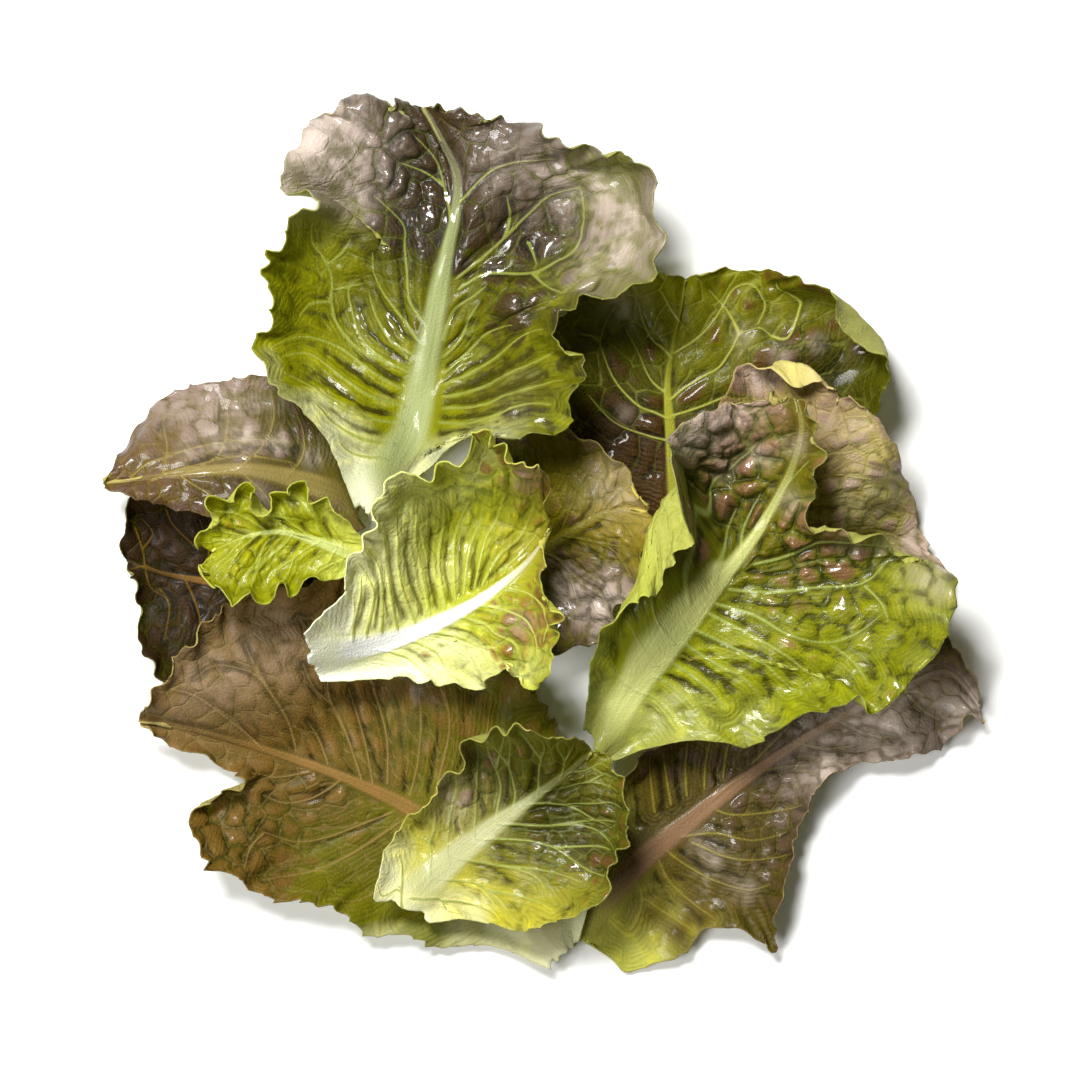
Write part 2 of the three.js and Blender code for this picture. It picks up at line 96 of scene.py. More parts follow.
def paths(text):
    """Several such lists, with slashes between them."""
    return [path(part) for part in text.split("/")]


print("one drawing square is", SQUARE, "mm, so the drawing is", 2 * CENTRE * SQUARE, "mm wide")

# %% [markdown]
# ## The leaves
#
# A leaf could be modelled by hand from a plane, but twelve leaves would then be twelve jobs. Here three
# curves traced over the photo and a few numbers describe each, and one function makes them all.
#
# They stand from the lowest to the topmost. `rib`, `left` and `right` are drawing points from base to
# tip. `rests` marks a leaf that lies on the ground. `arch` is the height of the rib over its bed, `rise`
# the height gained towards each margin, `turn` the angle by which the margin strip turns up or down, in
# degrees, `strip` how wide that strip is, `ruffle` the height and number of the margin's waves, `phase`
# where they start. `dents` are round swells and hollows: drawing point, radius in squares, height in
# millimetres.

# %% The table of leaves
LEAVES = [
  dict(name="leaf_left_low", rests=True, arch=[0, 0, 0, 3], rise=[4, 4],
    turn=dict(left=[0, 30, 30, 10], right=[0, 20, 20, 10]), ruffle=[4, 4], phase=0.3, rib_width=14,
    rib_depth=3.5,
    rib=path("335,600 270,590 205,582 160,574 122,562"),
    left=path(
      "332,628 300,655 262,672 225,684 190,690 165,686 150,668 138,656 133,625 130,605 135,590 124,574"),
    right=path("338,572 318,535 285,512 250,500 205,492 165,492 140,495 127,502 121,530 116,552"),
    dents=path("180,640,30,4 200,530,30,3")),
  dict(name="leaf_upper_right", rests=True, arch=[0, 0, 0, 5], rise=[7, 6],
    turn=dict(left=[10, 30, 20, 10, 0, -20, 0], right=[0, 20, 70, 120, 20, 0, -10]),
    strip=dict(left=0.3, right=0.26), ruffle=[6, 4], phase=1.9, rib_width=12, rib_depth=4,
    rib=path("690,572 678,505 672,440 669,385 676,340 684,303 688,276"),
    left=path("672,562 632,528 598,490 572,450 556,410 548,368 552,330 572,300 608,282 640,273 672,271"),
    right=path(
      "706,562 762,512 822,470 862,432 880,400 888,375 884,350 862,326 846,308 828,289 800,275 768,268 "
      "735,264 702,271"),
    dents=path("640,330,40,-4 810,345,26,7 720,310,40,-2")),
  dict(name="leaf_lower_right", rests=True, arch=[0, 0, 0, 0, 6], rise=[5, 4],
    turn=dict(left=[0, 30, 30, 20, -20, 90], right=[0, 10, 40, 30, -20, 60]), ruffle=[6, 6], phase=4.1,
    rib_width=18, rib_depth=4,
    rib=path("578,940 622,884 680,834 735,790 792,750 850,716 908,688 952,672 984,706"),
    left=path(
      "563,926 580,870 604,812 640,765 690,728 745,706 800,690 850,672 895,652 930,634 948,630 966,655 "
      "982,685"),
    right=path(
      "592,954 612,966 628,979 655,970 684,960 708,936 740,932 762,944 779,959 779,918 790,880 796,848 "
      "806,822 824,786 858,770 900,764 942,750 962,736 974,722 988,728"),
    dents=path("740,860,36,5 650,900,40,-3 900,720,30,4")),
  dict(name="leaf_lower_left", rests=True, arch=[0, 0, 0, 0, 3], rise=[4, 6],
    turn=dict(left=[0, 20, 40, 10, 0], right=[0, 10, 20, 30, 10]), ruffle=[5, 6], phase=2.6, rib_width=20,
    rib_depth=4,
    rib=path("565,962 520,905 465,855 410,814 350,786 290,763 228,743 176,728 136,722"),
    left=path(
      "550,974 512,957 478,950 438,952 402,939 366,934 334,910 300,903 262,898 222,871 197,850 189,825 "
      "200,806 232,792 248,781 216,769 180,752 144,731"),
    right=path(
      "582,946 592,880 588,820 566,760 540,705 508,660 455,622 402,594 352,574 310,586 272,588 240,602 "
      "212,615 190,640 175,665 158,690 142,710"),
    dents=path("260,660,50,5 240,840,36,5 360,690,50,-3 440,700,40,4")),
  dict(name="leaf_left", arch=[1, 4, 6, 3], rise=[3, 2],
    turn=dict(left=[0, 10, -30, 0], right=[0, -20, -50, -30]), strip=dict(left=0.3, right=0.5),
    ruffle=[3, 3], phase=5.2, rib_width=16, rib_depth=3.5,
    rib=path("355,500 305,482 250,470 195,472 145,478 101,483"),
    left=path("362,526 330,540 290,536 250,525 215,516 185,510 150,500 125,493 105,488"),
    right=path(
      "348,468 334,440 312,415 290,395 268,379 240,377 212,382 180,388 152,402 135,425 118,455 101,478"),
    dents=path("255,440,30,5 180,420,30,-2")),
  dict(name="leaf_right_back", arch=[1, 2, 4, 3], rise=[4, 3],
    turn=dict(left=[0, 0, 0, 20, 150, 60], right=[0, 0, -10, -40, -20]), ruffle=[4, 4], phase=0.9,
    rib_width=16, rib_depth=3,
    rib=path("665,655 702,600 740,548 778,498 808,458 828,424 838,400"),
    left=path("652,640 662,560 690,480 716,420 730,385 742,366 772,368 802,372 820,380 832,388"),
    right=path(
      "680,668 740,668 800,662 862,650 918,618 950,575 936,550 922,525 918,500 905,480 895,455 880,430 "
      "862,408 846,398"),
    dents=path("860,510,30,4 900,560,30,-2")),
  dict(name="leaf_centre_dark", arch=[1, 2, 3, 3], rise=[3, 4],
    turn=dict(left=[0, 20, 20, 0], right=[0, 20, 40, 0]), ruffle=[4, 4], phase=3.3, rib_width=12,
    rib_depth=3,
    rib=path("478,600 512,575 548,548 588,522 622,510 648,512"),
    left=path("468,572 474,520 486,462 500,438 530,431 562,429 588,438 610,457 632,478 650,502"),
    right=path(
      "490,622 518,645 548,652 572,646 592,646 606,630 616,610 634,598 642,575 643,552 652,532 653,520"),
    dents=path("590,590,26,5 570,480,30,-2")),
  dict(name="leaf_right", arch=[0, 2, 6, 12], rise=[6, 5],
    turn=dict(
      left=[10, 30, 100, 170, 165, 40, 10, -20, -30, -20], right=[0, 20, 40, 30, 0, 10, 20, -20, -40]),
    strip=dict(left=0.68, right=0.3), ruffle=[6, 6], phase=1.2, rib_width=20, rib_depth=4.5,
    rib=path("598,752 625,702 656,664 690,622 718,587 742,556 766,518 788,474 798,434 792,402"),
    left=path(
      "583,732 590,700 593,665 602,632 622,608 634,575 640,535 654,508 667,488 661,455 668,435 690,416 "
      "715,410 745,398 778,399"),
    right=path(
      "614,765 650,749 690,740 722,742 748,746 778,726 804,712 832,706 852,696 876,709 904,682 926,658 "
      "942,630 950,600 951,573 918,560 880,540 838,533 806,516 812,486 819,456 811,430 804,404"),
    dents=path(
      "740,440,34,-5 850,570,36,-5 710,545,26,-4 700,420,30,4 915,610,36,5 800,640,30,4 760,700,30,-3")),
  dict(name="leaf_top", arch=[0, 3, 9, 16, 12], rise=[8, 8],
    turn=dict(left=[0, 30, 50, 40, -20, -50, -50], right=[0, 15, 60, 70, 20, -40, -50]), ruffle=[7, 7],
    phase=0, rib_width=26, rib_depth=5,
    rib=path("374,518 392,470 410,430 420,386 428,340 438,290 447,250 455,214 456,175 440,138 422,104"),
    left=path(
      "356,506 342,470 322,432 298,405 274,385 258,356 264,328 270,300 270,262 284,232 306,212 322,202 "
      "290,194 282,172 300,142 314,116 336,110 355,95 382,104 408,102"),
    right=path(
      "390,512 408,488 432,462 458,442 490,434 520,437 548,432 572,428 574,398 583,368 568,350 548,336 "
      "562,318 582,302 616,297 642,288 658,265 661,236 654,205 648,172 634,158 600,156 562,141 530,123 "
      "498,115 462,114 436,105"),
    dents=path(
      "430,180,40,-6 545,245,40,-6 345,290,42,-6 505,375,36,-4 318,150,36,5 625,215,36,6 510,305,24,5 "
      "500,150,40,3 350,400,30,3")),
  dict(name="leaf_small_frilly", arch=[0, 2, 3, 2], rise=[5, 6],
    turn=dict(left=[20, 60, 60, 40], right=[20, 60, 60, 40]), ruffle=[5, 5], phase=2.2, rib_width=8,
    rib_depth=2.5,
    rib=path("364,556 345,551 318,541 285,532 250,536 214,552"),
    left=path("354,572 332,580 310,585 290,590 268,595 245,595 226,592 211,584 205,568"),
    right=path(
      "371,544 354,530 342,514 322,502 304,488 288,490 278,504 266,508 254,492 236,489 218,502 208,522 "
      "204,545"),
    dents=path("240,560,24,4 300,510,24,4")),
  dict(name="leaf_centre", arch=[0, 1, 4, 7], rise=[5, 5],
    turn=dict(left=[10, 40, 60, 50, 35, 10], right=[10, 20, 40, 50, 70, 30]), ruffle=[6, 6], phase=4.4,
    rib_width=18, rib_depth=4.5,
    rib=path("308,657 350,652 400,640 440,622 480,600 518,570 540,545 550,528"),
    left=path(
      "304,634 328,612 350,594 348,566 366,546 378,520 388,486 416,481 446,466 464,452 474,430 494,442 "
      "516,458 536,473 549,496 551,515"),
    right=path(
      "318,682 352,681 400,678 436,683 468,687 492,670 510,662 524,687 548,682 557,655 551,636 555,612 "
      "544,590 538,570 546,545"),
    dents=path("440,540,30,-4 520,480,26,5 520,620,24,4 400,520,30,3")),
  dict(name="leaf_lower_centre", arch=[0, 2, 5, 6], rise=[7, 7],
    turn=dict(left=[10, 50, 80, 20, -40], right=[10, 40, 60, 30, -20]), ruffle=[4, 5], phase=5.8,
    rib_width=22, rib_depth=4.5,
    rib=path("400,912 440,872 478,842 512,816 542,793 570,771 592,752"),
    left=path(
      "374,900 379,876 386,852 404,832 428,806 438,785 458,772 462,748 478,734 502,728 528,725 555,729 "
      "580,738"),
    right=path(
      "430,924 470,921 510,929 548,925 574,911 598,904 611,882 610,862 624,843 630,820 625,792 614,768 "
      "600,750"),
    dents=path("570,820,32,-5 470,780,26,4 590,880,26,4 540,750,24,4")),
]
print(len(LEAVES), "leaves from", LEAVES[0]["name"], "up to", LEAVES[-1]["name"])

# %% [markdown]
# ## Looks of the leaves
#
# One leaf is nearly black and the next one lime, so each has a row of its own, and one material function
# reads them all. Painted pictures could carry the colours, but colours worked out from the form stay
# sharp at any size and right from every side.
#
# - `size`: rows and columns of the fine grid.
# - `blade`: the blade's colours from base to tip. `red`: the pigment's colour. `blush`: how much of it the
#   base, middle and tip carry. `rib`, `vein` and `rim`: colours of these.
# - `spots`: round patches (x, y, radius, amount) with more or less pigment. `sheen`: patches of painted
#   sheen, a lilac-grey colour that stands in for the window light's reflection. `shade`: patches of painted
#   shade, a deeper colour. `bumps`: patches with higher or lower blisters.
# - `cells` and `blister`: usual width and height of a blister. `belly`: height of the blade between side
#   veins. `crease`: how crumpled it is. `deep`: depth of the furrows. `depth`: how dark the painted shade
#   in hollows is.
# - `veins` and `furrows`: lines of drawing points, or how many grow by rule. `thick`: half the width of a
#   side vein at the rib. `net`: how plain the small veins are.
# - `teeth`, `lobes` and `frills`: how far the margin's teeth, lobes and ruffles go. `gloss`: how shiny.

# %% The table of looks
LOOKS = {
  "leaf_left_low": dict(
    size=(118, 68), blade="3c360e 2a2504 1a1703 1a1603", red="26180a", blush=[0.6, 0.8, 0.9], spots=[],
    bumps=[], cells=9, blister=0.8, belly=1.2, thick=0.6, furrows=4, deep=0.8, vein="6e5012", net=0.15,
    rib="7a5824", rim="3a2a12", gloss=0.08, crease=0.4,
    veins=paths(
      "130,528 137,550 139,566 145,587 159,597 / 137,550 147,532 137,518 / 163,508 169,524 189,546 / "
      "139,566 124,570 / 139,566 157,573 / 155,591 163,609 160,640 / 200,582 205,550 195,520 / 240,588 "
      "250,555 240,520 / 180,580 195,620 190,660 / 230,588 250,630 245,665 / 280,592 295,560 290,530")),
  "leaf_upper_right": dict(
    size=(172, 128), blade="8a8a30 464605 5c5c06 727206", red="42280a", blush=[0.6, 0, 0.25], cells=12,
    blister=0.7, belly=1.3, thick=0.62, deep=0.8, furrows=0, vein="b0b24c", net=0.3, rib="96942a",
    rim="5c5010", frills=1, gloss=0.35, crease=0.45,
    spots=path(
      "600,480,70,0.9 640,460,60,0.7 800,350,30,0.6 850,330,22,0.4 760,272,60,0.25 850,300,40,0.2 "
      "620,360,40,0.15 770,375,26,0.8"),
    bumps=path("720,330,40,0.6 790,350,24,2 822,340,24,2 630,460,50,1.4"),
    sheen=path("620,300,22,0.4 745,335,10,0.5 785,352,11,0.6 822,342,9,0.6 625,412,10,0.2"),
    shade=path("580,340,30,0.3 620,440,60,1.4 720,420,50,0.6 600,400,40,0.4 835,378,34,0.8 815,365,30,0.4"),
    veins=paths(
      "671,417 656,410 642,404 625,391 614,376 606,357 601,339 606,319 616,304 / 601,339 592,334 580,332 / "
      "668,390 657,382 649,371 640,348 627,326 / 673,355 664,345 655,337 645,319 640,300 / 681,318 672,305 "
      "664,290 / 672,397 682,390 690,384 705,374 720,365 733,348 744,331 762,324 773,332 / 744,331 735,316 "
      "727,303 712,286 / 676,350 699,337 714,320 726,303 737,285 755,282 768,298 762,322 / 773,332 790,335 "
      "803,306 790,290 779,282 / 671,415 700,405 735,390 760,375 / 675,440 700,450 740,445 790,425 / "
      "674,440 650,435 615,420 590,395")),
  "leaf_lower_right": dict(
    size=(196, 112), blade="c8c854 5a4c18 42351a 98805c", red="40301e", blush=[0.3, 0.8, 1], cells=8,
    blister=0.9, belly=1.6, thick=0.55, deep=1.2, vein="8a8030", net=0.25, rib="8a6a4c", rim="a07a62",
    frills=1, gloss=0.4, crease=0.6,
    spots=path("650,930,70,-1 620,900,60,-0.8 700,900,60,-0.6"),
    bumps=path("740,850,90,1"),
    sheen=path(
      "905,712,50,0.9 978,708,24,0.9 840,745,60,0.6 715,865,14,0.4 748,892,14,0.4 700,846,10,0.4 "
      "830,770,16,0.7"),
    veins=paths(
      "655,816 653,780 647,752 / 689,799 688,768 692,740 / 726,780 728,757 733,743 / 672,808 669,780 "
      "664,752 / 706,791 709,768 713,740 / 756,766 773,749 798,723 / 712,810 734,819 773,816 807,808 / "
      "683,841 717,838 756,843 790,836 / 695,847 728,861 756,865 787,858 / 667,853 686,869 717,886 751,895 "
      "770,889 / 658,861 672,886 695,909 717,923 / 633,878 644,903 633,937 611,925 / 644,903 672,923 "
      "695,937 / 717,802 742,782 779,771 812,768 / 800,745 830,752 860,748 / 841,721 869,735 897,740 / "
      "850,716 870,700 900,680 / 908,690 925,710 945,722 / 905,690 920,665 940,650"),
    furrows=paths(
      "700,824 734,833 773,827 / 700,842 742,853 768,852 / 681,802 679,774 681,746 / 717,785 720,766 "
      "723,746 / 664,813 661,782 657,757 / 734,794 762,780 784,774 / 676,850 705,872 735,882 / 650,868 "
      "662,893 680,912 / 640,826 636,800 634,785")),
  "leaf_lower_left": dict(
    size=(206, 122), blade="ecebc0 6c6c0e 4e4208 8a7242", red="5c4418", blush=[0, 0.8, 1], cells=9,
    blister=0.7, belly=1.3, thick=0.5, deep=0.9, vein="8f7444", net=0.5, rib="80602e", rim="8a6a38",
    teeth=2.6, gloss=0.15, crease=0.35,
    spots=path("480,930,50,-1.2 390,925,50,-1.1 330,900,30,-0.6 320,640,90,0.1 470,700,60,0.25"),
    bumps=path("240,840,60,1"),
    sheen=path("200,680,50,0.2 275,640,50,0.2"),
    shade=path("265,835,60,0.4 500,690,60,0.3"),
    veins=paths(
      "408,800 416,771 419,732 418,690 / 385,788 385,742 377,706 371,687 / 432,800 447,742 447,713 442,687 "
      "/ 371,788 364,749 354,716 345,690 / 358,784 345,742 332,713 312,690 302,667 / 325,768 315,742 "
      "306,723 / 293,755 286,723 270,697 257,677 241,671 215,667 192,680 / 270,697 250,661 244,645 / "
      "260,752 228,723 195,697 172,690 / 338,784 312,801 283,807 262,800 / 390,817 358,830 325,843 293,846 "
      "262,836 / 397,827 358,853 325,869 293,879 260,882 / 306,775 273,781 250,776 / 262,836 250,850 "
      "240,872 / 450,820 480,760 492,700 / 470,840 510,790 530,730 / 440,850 400,880 360,905 330,905 / "
      "480,880 440,905 400,925 / 345,742 328,700 322,660 300,620 / 377,706 360,660 350,610 / 447,713 "
      "430,660 420,620"),
    furrows=paths(
      "400,795 402,755 397,716 393,690 / 377,784 371,755 358,729 / 426,795 434,755 436,723 432,690 / "
      "446,800 462,755 464,723 458,690 / 351,781 338,755 325,730 / 312,765 300,735 292,715 / 380,822 "
      "345,838 305,846 / 320,795 290,798 265,790")),
  "leaf_left": dict(
    size=(126, 80), blade="6a6028 50480c 64501c 725a26", red="46301e", blush=[0.5, 0.7, 0.9], spots=[],
    cells=8, blister=0.6, belly=1.2, thick=0.5, deep=0.8, vein="8c7c30", net=0.2, rib="86763c",
    rim="6a5030", frills=0.8, gloss=0.8, crease=0.6,
    bumps=path("260,442,40,2.4 310,456,20,2.4 200,400,40,-0.3"),
    sheen=path(
      "200,403,50,0.35 255,395,34,0.2 160,410,30,0.15 215,443,13,0.8 242,440,12,0.8 276,442,12,0.7 "
      "310,456,11,0.7 182,453,10,0.5 250,497,14,0.6"),
    shade=path("260,492,46,0.6 200,495,40,0.5 300,450,24,0.4"),
    veins=paths(
      "128,478 145,464 169,454 216,442 250,438 285,441 / 150,480 170,472 205,462 240,455 290,462 / 185,474 "
      "215,455 225,430 222,400 / 235,470 262,445 272,415 268,390 / 285,478 300,455 300,430 292,405 / "
      "160,476 165,450 160,425 / 180,476 205,492 225,508 / 240,472 262,492 280,520 / 290,480 310,500 "
      "325,525"),
    furrows=paths("190,462 230,450 270,449 300,466 / 240,480 262,503 270,520")),
  "leaf_right_back": dict(
    size=(136, 86), blade="b8b45c 948c20 a09a3c b4986c", red="70503a", blush=[0.3, 0.4, 0.7], cells=8,
    blister=0.8, belly=1.4, veins=8, thick=0.5, furrows=4, deep=0.8, vein="9c882b", net=0.3, rib="a89c58",
    rim="a08060", frills=0.8, gloss=0.6, crease=0.7,
    spots=path("930,560,50,0.5 760,370,40,0.8"),
    bumps=path("860,500,60,1.2"),
    sheen=path("758,374,22,0.8 845,425,40,0.5 930,545,36,0.8 855,500,30,0.5 895,480,30,0.25")),
  "leaf_centre_dark": dict(
    size=(126, 84), blade="6a6814 686407 6a5e0c a08a30", red="3c2814", blush=[0.5, 0.4, 0.8], cells=8,
    blister=0.8, belly=1.4, veins=6, thick=0.5, furrows=3, deep=0.8, vein="625c10", net=0.2, rib="6e6820",
    rim="5a4a1c", gloss=0.8,
    spots=path("580,600,45,0.8 620,480,40,-0.3"),
    bumps=path("590,590,50,3.2"),
    sheen=path("605,605,30,1 560,585,22,0.5 625,480,34,0.5")),
  "leaf_right": dict(
    size=(208, 152), blade="a8aa68 8e9410 686a08 68580e", red="6c4a30", blush=[0, 0, 0.6], cells=11,
    blister=0.9, belly=2.4, thick=0.8, deep=2, vein="98a450", net=0.2, rib="ccd080", rim="98a048", frills=2,
    spots=path(
      "730,430,70,0.55 700,520,40,0.5 800,560,40,0.5 850,540,40,0.4 780,600,30,0.3 900,640,60,-0.5 "
      "740,680,60,-0.4 680,600,22,0.8 800,650,26,0.3"),
    bumps=path("735,455,70,3 810,560,60,2 720,540,50,1.6 800,640,60,1.4 900,620,50,1 684,412,30,-3"),
    sheen=path(
      "692,420,32,0.9 676,448,14,0.6 930,578,26,0.5 742,400,30,0.6 795,445,12,0.6 762,455,12,0.6 "
      "722,470,12,0.6 790,500,12,0.5 850,540,12,0.4 880,545,9,0.5"),
    shade=path("720,500,50,0.5 830,560,34,0.5 760,560,30,0.4 800,610,26,0.3 720,430,40,0.2 740,700,50,0.3"),
    veins=paths(
      "688,602 685,569 693,538 705,513 713,482 736,464 754,446 / 713,584 721,559 726,533 735,510 / 767,523 "
      "777,500 790,480 805,462 / 756,564 790,556 815,543 833,541 866,543 889,538 / 731,590 777,592 815,589 "
      "861,584 892,556 / 861,584 879,604 885,622 / 718,604 754,615 790,635 828,643 856,635 879,617 / "
      "828,643 850,660 868,682 / 710,614 739,628 769,645 795,662 818,684 / 698,630 733,648 764,664 790,690 "
      "/ 685,644 718,664 749,684 765,706 / 668,660 700,682 725,708 / 655,676 682,696 705,722 / 640,690 "
      "662,704 680,730 / 742,556 742,535 748,515 760,495 / 640,690 622,680 610,665 / 655,664 640,645 "
      "630,625 / 670,640 655,618 650,590"),
    furrows=paths(
      "716,610 745,624 770,640 / 695,634 725,645 757,652 785,668 / 682,652 712,672 740,690 / 655,669 "
      "682,684 709,697 722,712 / 632,696 650,709 669,722 / 735,600 775,604 815,604 850,600 / 748,572 "
      "790,572 830,566 870,566 / 672,652 700,668 716,690 / 690,590 697,560 706,535 / 736,575 740,550 "
      "750,528")),
  "leaf_top": dict(
    size=(228, 166), blade="f0f2d4 7e8004 565602 3a2a0a", red="2e1e0e", blush=[0, 0, 0.9], cells=11,
    blister=0.8, belly=1.8, thick=0.8, deep=1.9, vein="8c9440", net=0.2, rib="959d66", rim="8a8a40",
    frills=2, lobes=4,
    spots=path(
      "400,160,90,0.7 560,230,80,0.7 480,170,90,0.6 340,150,60,0.5 520,320,28,0.8 330,260,60,-0.5 "
      "560,390,40,0.15 420,215,40,0.4 640,220,50,0.4 475,390,16,0.6 515,415,18,0.6 575,370,18,0.5 "
      "355,145,30,-0.5 600,190,26,-0.3"),
    bumps=path(
      "410,160,40,3.4 575,250,40,3.2 500,310,36,2 330,290,60,0.6 550,205,26,2.4 310,150,60,-1.5 "
      "640,225,50,-1.6 520,140,40,-0.6"),
    sheen=path(
      "325,140,50,0.95 292,178,30,0.7 642,230,44,0.75 600,272,36,0.4 560,165,40,0.4 500,160,36,0.25 "
      "355,200,20,0.4 605,190,30,0.4"),
    shade=path(
      "410,235,44,1 340,235,30,0.2 500,240,40,0.6 410,160,34,0.7 545,240,36,0.6 340,320,30,0.25 "
      "370,290,30,0.35 540,390,40,0.7 490,380,44,0.8 300,370,30,0.2 440,260,30,0.5"),
    veins=paths(
      "421,318 407,298 406,268 404,244 402,222 374,193 / 415,337 402,318 385,296 372,271 370,252 / 410,353 "
      "388,337 372,309 366,293 / 405,370 377,353 358,334 350,307 346,285 358,280 / 394,364 358,348 336,323 "
      "328,298 329,276 322,254 310,238 313,224 / 346,283 329,288 / 328,298 310,302 298,312 / 325,262 "
      "340,250 348,238 / 399,386 372,370 344,350 320,337 295,337 276,345 / 402,405 369,394 336,370 308,353 "
      "281,356 / 399,422 363,416 330,400 303,381 285,374 / 391,444 358,438 330,419 314,404 / 383,460 "
      "355,455 338,444 / 457,276 479,257 503,235 525,213 550,194 580,186 / 459,286 487,272 531,272 555,260 "
      "577,246 583,213 580,189 / 531,272 545,285 560,292 / 529,240 535,262 / 443,337 454,309 473,293 "
      "485,285 / 443,355 459,337 470,315 479,300 / 444,372 468,350 487,331 511,323 / 444,383 473,370 "
      "500,353 522,337 539,331 / 444,394 476,389 503,378 531,364 555,353 / 444,408 476,405 506,397 536,389 "
      "563,381 / 441,422 473,423 503,414 528,405 550,408 / 437,444 459,440 481,432 / 451,219 444,183 "
      "435,156 415,134 / 459,200 487,172 514,161 555,159 / 444,183 425,170 400,160 / 503,235 510,215 "
      "508,195"),
    furrows=paths(
      "417,345 400,326 384,304 375,284 / 408,362 384,346 366,326 358,300 / 400,378 372,362 350,344 / "
      "398,395 370,382 344,362 318,348 / 398,414 368,405 340,388 316,370 / 394,432 362,428 336,412 314,394 "
      "/ 388,452 360,448 338,432 / 412,330 402,308 398,280 396,252 / 448,322 462,300 478,290 / 446,345 "
      "464,328 480,310 / 446,364 470,345 492,325 / 446,378 475,362 505,342 525,330 / 446,389 476,380 "
      "506,366 535,350 / 446,401 478,398 508,388 540,376 / 444,415 476,414 506,406 535,397 / 440,432 "
      "462,432 490,424 / 462,262 486,240 510,216 540,196 / 466,276 492,258 520,248 556,236")),
  "leaf_small_frilly": dict(
    size=(126, 92), blade="c8cc68 92960e 8a8c0c 9a9c12", red="6e4a18", blush=[0, 0.1, 0.2], cells=6,
    blister=1.2, belly=1.6, veins=7, thick=0.5, furrows=5, deep=1.4, vein="a0aa40", net=0.1, rib="b8c070",
    rim="b0b458", frills=4, teeth=0.4, lobes=10, crease=1.2,
    spots=path("240,520,20,0.3"),
    bumps=path("280,540,70,1.2")),
  "leaf_centre": dict(
    size=(178, 138), blade="ffffff f4f6b8 b0b628 8e841e", red="6e4a1e", blush=[0, 0, 0.6], cells=7,
    blister=0.9, belly=1.8, thick=0.7, deep=1.5, vein="b4bc58", net=0.1, rib="ffffff", rim="b0b458",
    frills=2.5, lobes=6, crease=0.8, depth=0.55, teeth=0.5,
    spots=path(
      "525,480,34,0.9 518,632,40,0.9 545,600,30,0.6 490,446,22,0.6 440,500,50,-0.3 465,570,10,0.5 "
      "420,655,14,0.4"),
    bumps=path("520,490,40,2.2 520,630,40,2.4 440,500,60,0.8"),
    sheen=path("520,480,16,0.3 520,625,14,0.3"),
    shade=path("545,590,16,0.8 490,575,20,0.3 452,552,38,1 515,625,26,0.3 470,668,30,0.35"),
    veins=paths(
      "352,640 362,600 365,579 / 367,635 375,599 372,582 362,564 / 382,632 384,594 382,569 370,547 / "
      "397,628 392,594 389,569 384,532 / 414,622 402,582 399,544 397,507 / 429,614 422,569 417,532 419,502 "
      "/ 444,606 439,559 444,524 444,495 / 455,600 454,549 459,524 469,502 / 464,594 469,549 479,524 "
      "487,495 / 474,588 484,544 496,519 506,495 / 482,584 501,554 521,537 534,507 / 501,571 521,553 "
      "539,532 / 377,648 402,656 419,669 / 409,640 434,650 444,666 / 429,632 459,637 479,649 489,664 / "
      "459,617 484,624 496,634 514,644 520,664 / 479,606 501,609 524,619 536,639 536,664 / 501,586 529,594 "
      "545,614 545,640"),
    furrows=paths(
      "360,630 368,600 366,578 / 375,630 381,600 378,575 368,556 / 391,626 388,594 386,560 / 406,620 "
      "397,585 393,545 390,515 / 422,614 412,575 408,540 408,508 / 437,606 430,565 431,530 432,500 / "
      "450,600 446,556 451,525 457,500 / 460,594 461,550 470,522 478,500 / 470,590 477,548 488,522 / "
      "479,584 492,550 508,528 / 492,576 511,553 530,535 / 393,648 416,656 432,668 / 443,628 470,632 "
      "488,645 / 470,612 492,616 508,630")),
  "leaf_lower_centre": dict(
    size=(152, 112), blade="f0f0c8 b4ae3a 5c5c06 6e6a0a", red="58381a", blush=[0, 0.25, 0.3], cells=7,
    blister=0.9, belly=1.8, veins=8, thick=0.6, furrows=6, deep=1.6, vein="9aa450", net=0.25, rib="b4b682",
    rim="b0b050", frills=2, crease=0.9,
    spots=path("480,780,40,0.4 450,800,30,0.2 590,850,40,0.3 400,860,30,-0.4 560,800,40,-0.2"),
    bumps=path("560,830,60,1.4 470,790,50,1.6"),
    sheen=path("455,802,34,0.5"),
    shade=path("565,815,50,1.2 590,850,30,0.5 460,840,20,0.4 520,860,30,0.3")),
}
grids = sorted(look["size"] for look in LOOKS.values())
print("grids from", grids[0], "to", grids[-1])

# %% [markdown]
# ## Curves, noise and the pile
#
# A margin or a rib is a smooth curve through its points, read by the share of its length. Each leaf lies
# on a bed: the heights of all that is already laid, widened by a radius and then averaged over no more
# than that radius, so the bed nowhere lies under the pile. A simulation could drop the leaves instead,
# but they would not come to lie as in the photo, and not the same way each time.

# %% Curves through points
def ease(t):
    """0 to 1 with flat ends: t squared times (3 - 2 t), t held between 0 and 1."""
    t = np.clip(t, 0.0, 1.0)
    return t * t * (3.0 - 2.0 * t)


def smooth(p, steps):
    """Catmull-Rom curve through points, with a number of steps from each point to the next."""
    a, b, c, d = np.vstack([p[:1], p[:-2]]), p[:-1], p[1:], np.vstack([p[2:], p[-1:]])
    t = (np.arange(steps) / steps)[None, :, None]
    a, b, c, d = (q[:, None, :] for q in (a, b, c, d))
    second, third = 2 * a - 5 * b + 4 * c - d, 3 * b - a - 3 * c + d
    dense = 0.5 * (2 * b + (c - a) * t + second * t**2 + third * t**3)
    return np.vstack([dense.reshape(-1, 2), p[-1:]])


